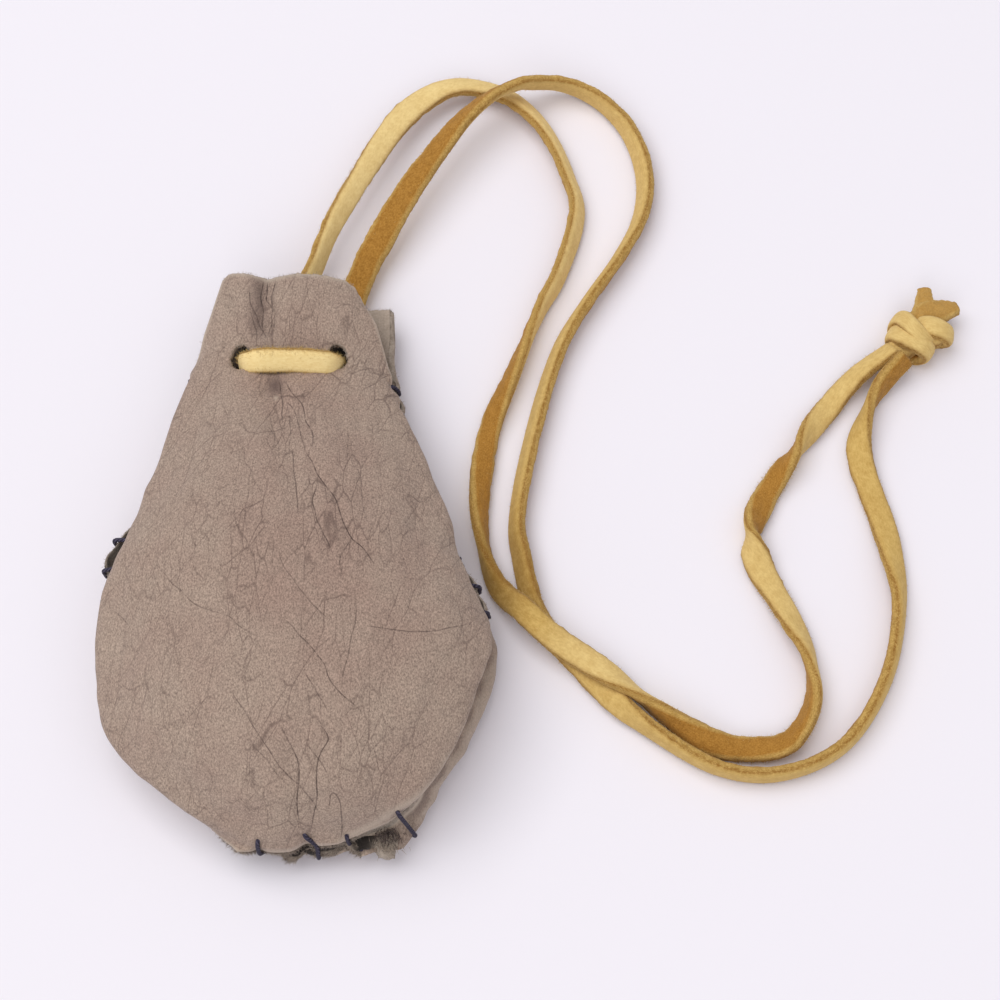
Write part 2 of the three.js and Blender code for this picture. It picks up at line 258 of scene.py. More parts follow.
# small pebbles and darker flecks of the hair side
def makePebbleGrain():
    inputs = [("Pebbles", 2.4), ("Flecks", 0.5)]
    tree, given, out = startGroup("pebbleGrain", inputs, ["Shade", "Fleck", "Height"])
    fine = noise(tree, given["Vector"], given["Pebbles"], 5.0, 0.68)["Fac"]
    beads = {"Vector": given["Vector"], "Scale": times(tree, given["Pebbles"], 0.9)}
    bead = putNode(tree, "ShaderNodeTexVoronoi", beads).outputs["Distance"]
    specks = noise(tree, given["Vector"], times(tree, given["Pebbles"], 1.5), 2.0)["Fac"]
    fleck = times(tree, rangeNode(tree, specks, 0.56, 0.74), given["Flecks"])
    tree.links.new(fine, out["Shade"])
    tree.links.new(fleck, out["Fleck"])
    tree.links.new(mathNode(tree, "MULTIPLY_ADD", bead, -0.4, times(tree, fine, 0.9)), out["Height"])
    return tree


# a net of fine wrinkles that comes and goes
def makeWrinkleNet():
    inputs = [("Cells", 0.25), ("Line", 0.05), ("Wander", 1.6), ("Present", 0.5)]
    tree, given, out = startGroup("wrinkleNet", inputs, ["Line", "Height"])
    bend = noise(tree, given["Vector"], times(tree, given["Cells"], 0.7), 2.2)["Color"]
    push = vectorNode(tree, "SUBTRACT", bend, (0.5, 0.5, 0.5))
    moved = vectorNode(tree, "ADD", given["Vector"], vectorNode(tree, "SCALE", push, given["Wander"]))
    cells = putNode(tree, "ShaderNodeTexVoronoi", {"Vector": moved, "Scale": given["Cells"]},
                    feature="DISTANCE_TO_EDGE").outputs["Distance"]
    line = rangeNode(tree, cells, 0.0, given["Line"], 1.0, 0.0)
    dip = rangeNode(tree, cells, 0.0, times(tree, given["Line"], 3.5), 1.0, 0.0)
    patch = noise(tree, given["Vector"], times(tree, given["Cells"], 0.45), 2.0)["Fac"]
    shown = rangeNode(tree, patch, given["Present"], mathNode(tree, "ADD", given["Present"], 0.2))
    tree.links.new(times(tree, line, shown), out["Line"])
    tree.links.new(times(tree, dip, shown, -1.0), out["Height"])
    return tree


# short fibres lying along or standing on a cut or suede face
def makeFibreNap():
    inputs = [("Fibres", 3.0), ("Stretch", 0.3), ("Tufts", 0.35)]
    tree, given, out = startGroup("fibreNap", inputs, ["Shade", "Height"])
    stretch = putNode(tree, "ShaderNodeCombineXYZ", {"X": given["Stretch"], "Y": 1.0, "Z": 1.0}).outputs[0]
    laid = vectorNode(tree, "MULTIPLY", given["Vector"], stretch)
    hair = noise(tree, laid, given["Fibres"], 6.0, 0.7)["Fac"]
    tuft = noise(tree, given["Vector"], times(tree, given["Fibres"], 0.22), 2.0)["Fac"]
    both = putNode(tree, "ShaderNodeMix", {0: given["Tufts"], 2: hair, 3: tuft}, data_type="FLOAT").outputs[0]
    tree.links.new(rangeNode(tree, both, 0.3, 0.7), out["Shade"])
    tree.links.new(both, out["Height"])
    return tree


pebbleGrain, wrinkleNet, fibreNap = makePebbleGrain(), makeWrinkleNet(), makeFibreNap()


def useGroup(tree, group, vector, inputs):
    return putNode(tree, "ShaderNodeGroup", {"Vector": vector, **inputs}, node_tree=group).outputs


def startMaterial(name, constants):
    material = bpy.data.materials.new(name)
    material.use_nodes = True
    tree = material.node_tree
    shader = tree.nodes["Principled BSDF"]
    for key, value in constants.items():
        shader.inputs[key].default_value = value
    return material, tree, shader


def markNode(tree, name):
    return putNode(tree, "ShaderNodeAttribute", attribute_name=name, attribute_type="GEOMETRY").outputs


def placeInMillimetres(tree):
    return vectorNode(tree, "SCALE", putNode(tree, "ShaderNodeTexCoord").outputs["Object"], 1 / mm)


def roughen(tree, shader, height, strength, depth):
    bump = putNode(tree, "ShaderNodeBump", {"Strength": strength, "Distance": depth * mm, "Height": height})
    tree.links.new(bump.outputs[0], shader.inputs["Normal"])


nubuckLook = {
    "taupe": colour(163, 144, 129),
    "rosy": colour(153, 129, 116),
    # pale of rubbed wear, also painted light on the rolled edges and on the back flap
    "pale": colour(192, 176, 159),
    "fleck": colour(112, 92, 82),
    # dark of the wrinkle and crease lines: partly the leather's own darker lines, partly painted shade in
    # their grooves
    "wrinkle": colour(92, 74, 67),
    "crease": colour(60, 46, 43),
    # colour of real stains, also of the shade painted at the neck pleat, in the gape and along the right seam
    "stainAndShade": colour(92, 75, 71),
    "flesh": colour(190, 176, 161),
    "fleshDeep": colour(132, 118, 106),
    # nearly black painted shade on the flesh side deep in the pouch, behind the slots and in the gape at the
    # left
    "inside": colour(24, 19, 18),
    "creaseHalfWidth": 0.17,
    "pebbles": {"Pebbles": 4.2, "Flecks": 0.5},
    "wideNet": {"Cells": 0.3, "Line": 0.034, "Wander": 2.2, "Present": 0.42},
    "fineNet": {"Cells": 0.5, "Line": 0.06, "Wander": 1.3, "Present": 0.4},
    "fleshNap": {"Fibres": 2.8, "Stretch": 0.8},
    "pebbleStretch": (1.0, 0.62, 0.8), "fineStretch": (1.0, 0.28, 0.5),
    "wideStretch": (1.0, 0.3, 0.5), "wideSlant": 26.0,
    "grainShade": (0.2, 0.8, 0.46, 1.54),  # this range of the grain gives that range of brightness
    "lineToneAndShade": {"fineNet": 0.6, "wideNet": 0.75, "crease": 0.92},
    "relief": {"grain": 0.55, "fineNet": 0.45, "wideNet": 0.7, "crease": 1.2, "flesh": 1.5},
    "bump": 0.3, "bumpDepth": 0.4,
}
creaseChannels = ["creaseA", "creaseB", "creaseC", "creaseD"]


def makeNubuck():
    look = nubuckLook
    material, tree, shader = startMaterial("taupeNubuck", {
        "Roughness": 0.9, "Specular IOR Level": 0.18, "Sheen Weight": 0.12, "Sheen Roughness": 0.55,
    })
    place = placeInMillimetres(tree)
    turn = {"Vector": place, "Angle": math.radians(look["wideSlant"])}
    slanted = putNode(tree, "ShaderNodeVectorRotate", turn, rotation_type="Z_AXIS").outputs[0]
    grain, netWide, netFine = [
        useGroup(tree, group, vectorNode(tree, "MULTIPLY", vector, look[stretch]), look[settings])
        for group, vector, stretch, settings in (
            (pebbleGrain, place, "pebbleStretch", "pebbles"),
            (wrinkleNet, slanted, "wideStretch", "wideNet"),
            (wrinkleNet, place, "fineStretch", "fineNet"),
        )
    ]
    clouds = rangeNode(tree, noise(tree, place, 0.09, 4.0, 0.6)["Fac"], 0.3, 0.7)
    rosy = mathNode(tree, "MULTIPLY_ADD", clouds, 0.5, markNode(tree, "blush")["Fac"], clamp=True)
    skin = mixColour(tree, rosy, look["taupe"], look["rosy"])
    shade = rangeNode(tree, grain["Shade"], *look["grainShade"])
    grey = putNode(tree, "ShaderNodeCombineColor", {0: shade, 1: shade, 2: shade}).outputs[0]
    skin = mixColour(tree, 1.0, skin, grey, "MULTIPLY")
    skin = mixColour(tree, grain["Fleck"], skin, look["fleck"])
    lined = markNode(tree, "lined")["Fac"]
    lineToneAndShade, relief = look["lineToneAndShade"], look["relief"]
    # wrinkle lines painted darker: their own tone and painted shade
    skin = mixColour(tree, times(tree, netFine["Line"], lined, lineToneAndShade["fineNet"]), skin, look["wrinkle"])
    skin = mixColour(tree, times(tree, netWide["Line"], lined, lineToneAndShade["wideNet"]), skin, look["wrinkle"])
    # this mark lays real stains and painted shade
    skin = mixColour(tree, markNode(tree, "stainAndShade")["Fac"], skin, look["stainAndShade"])
    breaks = rangeNode(tree, noise(tree, place, 0.7, 2.0)["Fac"], 0.3, 0.58, 0.35, 1.0)
    furrow = None
    for channel in creaseChannels:
        parts = putNode(tree, "ShaderNodeSeparateXYZ", {0: markNode(tree, channel)["Vector"]}).outputs
        line = rangeNode(tree, mathNode(tree, "ABSOLUTE", parts["X"]), 0.0, look["creaseHalfWidth"], 1.0, 0.0)
        line = times(tree, line, parts["Y"], breaks)
        furrow = line if furrow is None else mathNode(tree, "MAXIMUM", furrow, line)
    # crease lines painted darker: their own tone and painted shade
    skin = mixColour(tree, times(tree, furrow, lineToneAndShade["crease"]), skin, look["crease"])
    # this mark lays rubbed wear and painted light
    skin = mixColour(tree, markNode(tree, "wearAndLight")["Fac"], skin, look["pale"])
    nap = useGroup(tree, fibreNap, place, look["fleshNap"])
    suede = mixColour(tree, nap["Shade"], look["fleshDeep"], look["flesh"])
    # the inside mark paints shade onto the flesh side
    suede = mixColour(tree, markNode(tree, "inside")["Fac"], suede, look["inside"])
    flesh = markNode(tree, "flesh")["Fac"]
    tree.links.new(mixColour(tree, flesh, skin, suede), shader.inputs["Base Color"])
    height = times(tree, grain["Height"], relief["grain"])
    for part in (
        times(tree, netFine["Height"], lined, relief["fineNet"]),
        times(tree, netWide["Height"], lined, relief["wideNet"]),
        times(tree, furrow, -relief["crease"]),
        times(tree, nap["Height"], flesh, relief["flesh"]),
    ):
        height = mathNode(tree, "ADD", height, part)
    roughen(tree, shader, height, look["bump"], look["bumpDepth"])
    return material


laceLook = {
    "grain": colour(214, 180, 108),
    "grainDeep": colour(186, 148, 78),
    "clean": colour(254, 230, 168),
    "cleanDeep": colour(238, 208, 142),
    "suede": colour(188, 137, 62),
    "suedeDeep": colour(144, 97, 32),
    "cut": colour(212, 176, 104),
    "cutDeep": colour(160, 120, 54),
    "corner": colour(132, 84, 24),
    "darkened": colour(146, 108, 46),
    "smoothSide": {"Fibres": 3.4, "Stretch": 0.5, "Tufts": 0.35},
    "roughSide": {"Fibres": 4.2, "Stretch": 0.7, "Tufts": 0.2},
    "bump": 0.45, "bumpDepth": 0.4,
}


def makeLace():
    look = laceLook
    material, tree, shader = startMaterial("amberLace", {
        "Roughness": 0.88, "Specular IOR Level": 0.18, "Sheen Weight": 0.2, "Sheen Roughness": 0.5,
        "Sheen Tint": (1.0, 0.86, 0.55, 1.0),
    })
    run = markNode(tree, "laceRun")["Vector"]
    suede = markNode(tree, "suede")["Fac"]
    smoothSide = useGroup(tree, fibreNap, run, look["smoothSide"])
    roughSide = useGroup(tree, fibreNap, run, look["roughSide"])
    tone = markNode(tree, "clean")["Fac"]
    grain = mixColour(tree, smoothSide["Shade"], mixColour(tree, tone, look["grainDeep"], look["cleanDeep"]),
                      mixColour(tree, tone, look["grain"], look["clean"]))
    nap = mixColour(tree, roughSide["Shade"], look["suedeDeep"], look["suede"])
    cut = mixColour(tree, roughSide["Shade"], look["cutDeep"], look["cut"])
    nap = mixColour(tree, markNode(tree, "cut")["Fac"], nap, cut)
    skin = mixColour(tree, suede, grain, nap)
    darkening = mathNode(tree, "MULTIPLY", tone, -1.0, clamp=True)  # below nought the lace is darker
    darkening = times(tree, darkening, rangeNode(tree, smoothSide["Shade"], 0.1, 0.9, 1.0, 0.7))
    skin = mixColour(tree, darkening, skin, look["darkened"])
    patchy = rangeNode(tree, roughSide["Shade"], 0.2, 0.9, 0.75, 0.25)
    skin = mixColour(tree, times(tree, markNode(tree, "corner")["Fac"], patchy), skin, look["corner"])
    tree.links.new(skin, shader.inputs["Base Color"])
    lift = times(tree, roughSide["Height"], mathNode(tree, "MULTIPLY_ADD", suede, 0.75, 0.25))
    roughen(tree, shader, lift, look["bump"], look["bumpDepth"])
    return material


threadLook = {"dark": colour(40, 36, 50), "light": colour(84, 79, 98), "bump": 0.6, "bumpDepth": 0.3}


def makeThread():
    look = threadLook
    material, tree, shader = startMaterial("darkThread", {"Roughness": 0.75, "Specular IOR Level": 0.25})
    run = markNode(tree, "laceRun")["Vector"]
    twist = {"Vector": run, "Scale": 0.9, "Distortion": 1.5, "Detail": 2.0}
    ply = putNode(tree, "ShaderNodeTexWave", twist, bands_direction="DIAGONAL").outputs["Fac"]
    tree.links.new(mixColour(tree, ply, look["dark"], look["light"]), shader.inputs["Base Color"])
    roughen(tree, shader, ply, look["bump"], look["bumpDepth"])
    return material


nubuck, lace, thread = makeNubuck(), makeLace(), makeThread()
print("materials made")

laceForm = {
    "width": 4.2, "thickness": 2.2, "sides": 32, "step": 0.45, "squareness": 2.9,
    "widthWaver": (0.035, 13.0),  # share of the width, pitch
    "roughness": ((0.035, 0.8), (0.05, 2.6)),  # height, pitch
    # where across the section its suede, cut edge and dark corner begin, and how softly
    "suedeBelow": (0.72, 0.45), "cutFrom": (0.66, 0.22), "cornerFrom": (0.7, 0.15), "cornerAt": (0.25, 0.34),
    "outlineSamples": 2401, "rollReach": 8, "heightReach": 6,  # rolls and heights are evened over these
    "sink": 0.97,  # the lace settles a little into what it lies on
}


# outline of the cut strip, two units wide and two units thick, with points at an even pitch
def laceSection():
    angle = np.linspace(0, 2 * math.pi, laceForm["outlineSamples"])
    power = 2 / laceForm["squareness"]
    a = np.sign(np.cos(angle)) * np.abs(np.cos(angle)) ** power
    b = np.sign(np.sin(angle)) * np.abs(np.sin(angle)) ** power
    arc = lengthsAlong(np.stack([a * laceForm["width"], b * laceForm["thickness"]], axis=1) / 2)
    even = np.linspace(0, arc[-1], laceForm["sides"], endpoint=False)
    return np.interp(even, arc, a), np.interp(even, arc, b), even


# rolls in degrees: 0 is grain side up, 90 grain side to the left of the way it runs
def sweepLace(centres, rolls, widths, seed, clean, thickness=None, sideways=None, closed=False):
    form = laceForm
    thickness = thickness or form["thickness"]
    sides = form["sides"]
    sectionA, sectionB, around = laceSection()
    n = len(centres)
    if closed:
        tangents = unit(np.roll(centres, -1, axis=0) - np.roll(centres, 1, axis=0))
    else:
        tangents = unit(np.gradient(centres, axis=0))
    right = unit(np.cross(tangents, [0, 0, 1])) if sideways is None else np.broadcast_to(sideways, (n, 3))
    right = unit(right - tangents * (right * tangents).sum(axis=1, keepdims=True))
    upward = np.cross(right, tangents)
    turn = np.radians(np.broadcast_to(rolls, n))[:, None]
    across = np.cos(turn) * right + np.sin(turn) * upward
    face = np.cos(turn) * upward - np.sin(turn) * right
    arc = lengthsAlong(centres)
    arcLine = np.stack([arc, arc * 0, arc * 0], axis=1)
    halfWidth = np.broadcast_to(widths, n) / 2
    if not closed:
        waver, pitch = form["widthWaver"]
        halfWidth = halfWidth * (1 + waver * ripple(arcLine, pitch, seed))
    a = sectionA[None] * halfWidth[:, None]
    b = np.broadcast_to(sectionB[None] * thickness / 2, a.shape)
    outward = across[:, None] * a[..., None] + face[:, None] * b[..., None]
    flat = (centres[:, None] + outward).reshape(-1, 3)
    suede = np.tile(falling(sectionB, *form["suedeBelow"]), n)
    cut = np.tile(rising(np.abs(sectionA), *form["cutFrom"]), n)
    corner = np.tile(bell(sectionB, *form["cornerAt"]) * rising(np.abs(sectionA), *form["cornerFrom"]), n)
    tone = np.repeat(np.broadcast_to(clean, n), sides)
    (fine, finePitch), (coarse, coarsePitch) = form["roughness"]
    rough = suede * (fine * ripple(flat, finePitch, seed + 1) + coarse * ripple(flat, coarsePitch, seed + 2))
    flat = flat + unit(outward).reshape(-1, 3) * rough[:, None]
    keepAbove(flat)
    run = np.stack([np.repeat(arc, sides), np.tile(around, n), np.full(n * sides, seed * 3.7)], axis=1)
    if not closed:
        flat = np.vstack([flat, flat[:sides].mean(axis=0), flat[-sides:].mean(axis=0)])
        suede, cut, corner = (np.concatenate([v, [e, e]]) for v, e in ((suede, 1), (cut, 1), (corner, 0)))
        tone = np.concatenate([tone, tone[[0, -1]]])
        run = np.vstack([run, [[0, 0, 0], [arc[-1], 0, 0]]])
    marks = {"suede": suede, "cut": cut, "corner": corner, "clean": tone, "laceRun": run}
    return flat, tubeFaces(n, sides, closed), marks, (across, face, arc)


# x, y, clear height underneath, roll, width; from the back slot to the knot
leftRoute = [
    (-10.9, 33.0, 1.6, -10, 4.0), (-7.6, 41.0, 1.6, -10, 4.0), (-3.4, 49.0, 1.5, -30, 4.0),
    (0.0, 56.8, 1.6, -64, 4.0), (3.1, 64.8, 3.4, -58, 4.1), (7.0, 72.9, 4.1, -40, 4.3),
    (15.8, 89.5, 3.6, -8, 4.4), (20.9, 94.8, 3.0, 4, 4.4), (25.8, 97.3, 2.0, 16, 4.3),
    (31.1, 97.4, 0.8, 24, 4.2), (35.6, 95.9, 0.2, 34, 4.2), (40.3, 91.5, 0.2, 48, 4.2),
    (43.8, 85.9, 0.2, 58, 4.2), (46.6, 78.4, 0.2, 63, 4.3), (48.3, 71.1, 0.2, 65, 4.4),
    (44.7, 57.1, 0.2, 73, 4.3), (41.5, 50.6, 0.2, 84, 4.2), (35.9, 35.9, 0.2, 130, 3.9),
    (33.0, 28.8, 0.2, 162, 3.8), (31.3, 21.5, 0.2, 190, 3.8), (30.6, 8.2, 0.2, 240, 4.1),
    (33.4, -3.2, 0.4, 303, 4.3), (39.8, -10.8, 2.2, 346, 4.4), (43.8, -14.1, 2.4, 358, 4.4),
    (51.5, -19.3, 1.8, 374, 4.4), (57.2, -23.3, 0.5, 430, 4.4), (69.5, -31.4, 0.2, 524, 4.4),
    (81.0, -31.9, 0.2, 560, 4.4), (84.4, -29.0, 0.2, 586, 4.4), (86.6, -23.6, 0.2, 612, 4.4),
    (86.2, -16.5, 0.2, 652, 4.6), (83.3, -9.3, 0.2, 694, 4.7), (77.9, 2.9, 0.2, 752, 4.5),
    (77.7, 6.8, 0.2, 836, 4.4), (79.6, 12.1, 0.2, 892, 4.4), (82.6, 17.1, 0.2, 912, 4.4),
    (86.3, 22.1, 0.2, 986, 4.3), (90.1, 27.8, 0.2, 1058, 4.2), (97.5, 36.5, 0.6, 1106, 4.2),
    (104.2, 41.1, 2.2, 1120, 4.2),
]
rightRoute = [
    (6.0, 33.0, 1.6, -180, 4.6), (6.0, 41.0, 1.6, -180, 4.8), (6.8, 49.0, 1.6, -180, 4.8),
    (9.4, 57.8, 2.2, -180, 4.9), (12.6, 64.0, 3.8, -180, 4.9), (15.8, 70.1, 5.0, -179, 4.8),
    (23.0, 81.7, 5.4, -164, 4.4), (28.0, 88.5, 5.2, -140, 4.3), (33.7, 93.7, 4.8, -122, 4.2),
    (39.7, 96.7, 3.3, -110, 4.2), (45.4, 97.9, 1.6, -104, 4.2), (51.5, 96.0, 0.5, -90, 4.2),
    (56.9, 90.5, 0.2, -76, 4.3), (59.9, 83.9, 0.2, -68, 4.3), (61.0, 76.5, 0.2, -62, 4.3),
    (59.7, 68.7, 0.2, -64, 4.3), (55.7, 60.7, 0.2, -72, 4.3), (49.8, 51.5, 0.2, -73, 4.3),
    (44.9, 42.4, 0.2, -66, 4.2), (39.2, 22.0, 0.2, -64, 4.2), (37.0, 7.4, 0.2, -64, 4.2),
    (37.8, 1.6, 0.2, -60, 4.2), (38.9, -4.0, 0.2, -50, 4.0), (40.2, -8.2, 0.2, -24, 3.8),
    (42.5, -12.0, 0.2, -6, 3.8), (45.8, -15.7, 0.2, -2, 3.8), (52.6, -23.3, 0.2, -18, 3.9),
    (57.2, -27.6, 0.2, -68, 4.2), (69.3, -35.5, 0.2, -90, 4.2), (77.8, -37.1, 0.2, -90, 4.2),
    (86.4, -35.0, 0.2, -90, 4.2), (92.8, -30.4, 0.2, -88, 4.2), (99.4, -19.3, 0.2, -80, 4.2),
    (102.2, -6.1, 0.2, -66, 4.2), (101.5, 2.4, 0.2, -25, 4.2), (100.3, 9.3, 0.2, -5, 4.3),
    (97.5, 20.0, 0.2, 16, 4.2), (97.4, 24.4, 0.2, 38, 4.2), (100.9, 33.2, 0.6, 108, 4.2),
    (106.2, 39.3, 2.4, 132, 4.2),
]


def softened(values, reach):
    kernel = np.exp(-np.linspace(-2.5, 2.5, 2 * reach + 1) ** 2)
    padded = np.concatenate([np.full(reach, values[0]), values, np.full(reach, values[-1])])
    return np.convolve(padded, kernel / kernel.sum(), "valid")


def layRoute(route):
    line = smoothLine(route, laceForm["step"])
    turn = np.radians(softened(line[:, 3], laceForm["rollReach"]))
    half = 0.5 * (line[:, 4] * np.abs(np.sin(turn)) + laceForm["thickness"] * np.abs(np.cos(turn)))
    return {"place": line[:, :2], "height": line[:, 2] + half * laceForm["sink"], "half": half,
            "roll": np.degrees(turn), "width": line[:, 4]}


crossing = {"reach": 4.4, "blend": 2.0, "press": 0.95, "hump": 12, "least": 0.9}


# where two strands cross, the upper one rides over in a long low hump
def restOver(upper, lower, fromShare, toShare):
    gap = np.linalg.norm(upper["place"][:, None] - lower["place"][None], axis=2)
    near = falling(gap, crossing["reach"], crossing["blend"])
    top = ((lower["height"] + lower["half"])[None] * near).max(axis=1)
    along = np.linspace(0, 1, len(gap))
    inside = (along > fromShare) & (along < toShare)
    need = np.where(inside, top + upper["half"] * crossing["press"], 0)
    short = np.maximum(need - upper["height"], 0)
    raised = np.maximum(softened(short, crossing["hump"]), short * crossing["least"])
    upper["height"] = upper["height"] + raised


leftLay, rightLay = layRoute(leftRoute), layRoute(rightRoute)
restOver(rightLay, leftLay, 0.2, 0.36)  # above the mouth
restOver(leftLay, rightLay, 0.45, 0.62)  # beside the bag
for lay in (leftLay, rightLay):
    lay["centres"] = np.column_stack([lay["place"], softened(lay["height"], laceForm["heightReach"])])
    lay["length"] = float(lengthsAlong(lay["centres"])[-1])

darkenedStretch = {"at": (34.0, -2.0), "half": 11.0, "amount": 0.8}  # the lace is darker beside the bag


# the last two tell how clean the grain side is, at the bag and at the knot
def addStrand(name, node, lay, seed, cleanStart, cleanEnd):
    clean = np.linspace(cleanStart, cleanEnd, len(lay["centres"]))
    away = np.linalg.norm(lay["place"] - darkenedStretch["at"], axis=1)
    darkening = bell(away, 0, darkenedStretch["half"])
    clean = clean * (1 - darkening) - darkenedStretch["amount"] * darkening
    points, faces, marks, lay["guide"] = sweepLace(lay["centres"], lay["roll"], lay["width"], seed, clean)
    strand = addPiece(name, points, faces, lace, marks)
    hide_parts(node)
    return strand


leftStrand = addStrand("thong_left_lace", "thong_left", leftLay, 11, 0.7, 0.2)
rightStrand = addStrand("thong_right_lace", "thong_right", rightLay, 12, 0.3, 0.0)
print("strand lengths", round(leftLay["length"], 1), round(rightLay["length"], 1))

bagForm = {
    "leather": 1.5, "seamGap": 0.3, "edgeLip": 1.5, "edgeInset": 0.6,
    "chinFrontY": -51.0, "chinBackY": -51.5, "mouthFrontY": 50.5, "mouthBackY": 48.0,
    "rows": 236, "columns": 148, "chinCrowding": 1.35,
    "acrossSamples": 601, "foldFade": 1.6,
    "mouthReach": 9, "chinReach": 5, "backChinReach": 6,  # how far the uneven edges reach into the panel
    "mouthLine": [(0, 0.4), (0.05, 1.1), (0.1, 1.0), (0.18, 0.6), (0.27, 0.1), (0.36, -0.3),
                  (0.44, -0.3), (0.54, 0.0), (0.72, 0.0), (0.88, -0.4), (0.95, -1.3), (1.0, -2.9)],
    "chinLine": [(0, 0.0), (0.2, -0.2), (0.45, -0.2), (0.7, 0.7), (1.0, 0.8)],
    "backChinLine": [(0, 2.8), (0.25, 1.6), (0.4, 0.1), (0.5, -0.3), (0.64, -0.4),
                     (0.74, 0.5), (0.82, 2.0), (0.9, 0.4), (1, 0.9)],
    "backReachLeft": 6.0, "backReachRight": 7.0, "backRollShare": 0.32, "backRollPower": 1.4,
    "backChinLength": 7.0,
    # the lower right corner hangs lower than the rest of the chin, and swells
    "cornerFrom": 0.6, "cornerBlend": 0.15, "cornerTopY": -44, "cornerFade": 4, "cornerSag": 0.8,
    "cornerShorter": 4.4, "cornerLump": (17.6, -48.4, 3.0, 2.6), "lumpOut": (0.7, -1.5, 0.3),
    "slotY": 34.7, "slotXs": (-10.9, 5.9), "slotHalfWidth": 1.9, "slotHalfLength": 2.5,
    "lipReach": 1.6, "rimRings": 4, "rimSwell": 0.28, "rimRough": (0.1, 1.1),
}
sectionNames = ["y", "leftX", "leftZ", "rightX", "rightZ", "frontRise", "frontPower", "rest", "backBulge",
                "frontLift", "backDrop", "backShift"]
sectionRows = np.array([
    [-52.0, -6.5, 5.0, 7.5, 6.0, 0.0, 2.0, 4.0, 4.0, 0.0, 0.0, 0.0],
    [-50.5, -8.8, 4.8, 10.0, 6.7, 3.0, 1.8, 2.8, 6.5, 0.0, 0.0, 0.0],
    [-49.0, -11.2, 4.6, 13.0, 7.5, 5.5, 1.6, 1.8, 6.6, 0.0, 0.0, 0.0],
    [-47.0, -14.4, 4.5, 17.6, 8.5, 8.0, 1.4, 0.8, 4.2, 0.0, 0.0, 0.0],
    [-44.0, -18.2, 4.5, 22.0, 9.7, 10.5, 1.2, 0.0, 1.6, 0.0, 0.0, 0.0],
    [-36.0, -27.2, 4.5, 26.8, 11.0, 13.5, 1.0, 0.0, 1.0, 0.0, 0.0, 0.0],
    [-27.0, -31.4, 4.5, 30.3, 11.4, 15.0, 1.0, 0.0, 2.6, 0.0, 0.0, 0.0],
    [-17.0, -32.2, 5.0, 33.0, 11.0, 15.0, 1.0, 0.0, 1.4, 0.0, 0.0, 0.0],
    [-8.0, -31.7, 7.0, 30.4, 10.2, 14.4, 1.0, 0.0, 0.0, 0.0, 0.0, 0.0],
    [0.0, -29.4, 8.8, 26.8, 9.6, 13.4, 1.0, 0.0, 0.0, 0.0, 0.0, 0.0],
    [12.0, -24.3, 9.2, 22.9, 9.2, 10.6, 1.05, 0.4, 0.0, 0.0, 0.0, 0.0],
    [22.0, -23.1, 8.8, 19.5, 8.8, 7.6, 1.15, 2.2, 0.0, 0.0, 0.0, 0.3],
    [32.0, -21.2, 8.4, 15.6, 8.4, 4.8, 1.3, 4.2, 0.0, 0.3, 0.3, 1.3],
    [37.0, -19.1, 8.4, 14.1, 8.4, 4.0, 1.5, 4.4, 0.0, 0.8, 0.8, 1.6],
    [42.0, -17.6, 8.4, 12.6, 8.4, 3.5, 1.6, 4.4, 0.0, 1.5, 1.5, 3.0],
    [51.0, -14.9, 8.4, 9.3, 8.4, 3.0, 1.6, 4.4, 0.0, 2.0, 2.0, 5.6],
])
# soft furrows pressed into the front: from x, y to x, y, depth, width
frontFolds = [
    (-7.2, 54, -3.6, 22, 0.6, 2.6), (-7.2, 54, -6.8, 40, 0.8, 1.7), (-3.6, 22, 3, -8, 0.4, 2.4),
    (5, -20, 0.6, -50, 0.5, 2.4), (-4, -28, 4, -50, 0.3, 2.4), (-11.0, 33.8, 6.0, 33.8, 0.8, 2.4),
]


def sectionAt(y):
    ys = sectionRows[:, 0]
    k = np.clip(np.searchsorted(ys, y) - 1, 0, len(ys) - 2)
    before, after = np.clip(k - 1, 0, None), np.clip(k + 2, None, len(ys) - 1)
    step = ys[k + 1] - ys[k]
    u = np.clip((y - ys[k]) / step, 0, 1)
    at = {}
    for c, name in enumerate(sectionNames):
        v = sectionRows[:, c]
        slopeIn = (v[k + 1] - v[before]) / (ys[k + 1] - ys[before])
        slopeOut = (v[after] - v[k]) / (ys[after] - ys[k])
        at[name] = (v[k] + (v[k + 1] - v[k]) * smooth(u) + u * (1 - u) ** 2 * step * slopeIn
                    + u * u * (u - 1) * step * slopeOut)[:, None]
    return at


# even spacing of the columns along each row
def evenColumns(grid, columns):
    out = np.empty((grid.shape[0], columns + 1, 3))
    for r, row in enumerate(grid):
        arc = lengthsAlong(row)
        even = np.linspace(0, arc[-1], columns + 1)
        for c in range(3):
            out[r, :, c] = np.interp(even, arc, row[:, c])
    return out


def furrowDepth(x, y, rows):
    depth = np.zeros_like(x)
    for fromX, fromY, toX, toY, deep, wide in rows:
        along = np.array([toX - fromX, toY - fromY])
        t = np.clip(((x - fromX) * along[0] + (y - fromY) * along[1]) / (along @ along), 0, 1)
        off = np.hypot(x - fromX - t * along[0], y - fromY - t * along[1])
        depth += deep * bell(off, 0, wide)
    return depth


# rows of the mesh, closer together at the chin
def rowYs(chinY, mouthY):
    share = np.linspace(0, 1, bagForm["rows"] + 1)
    return chinY + (mouthY - chinY) * share ** bagForm["chinCrowding"]


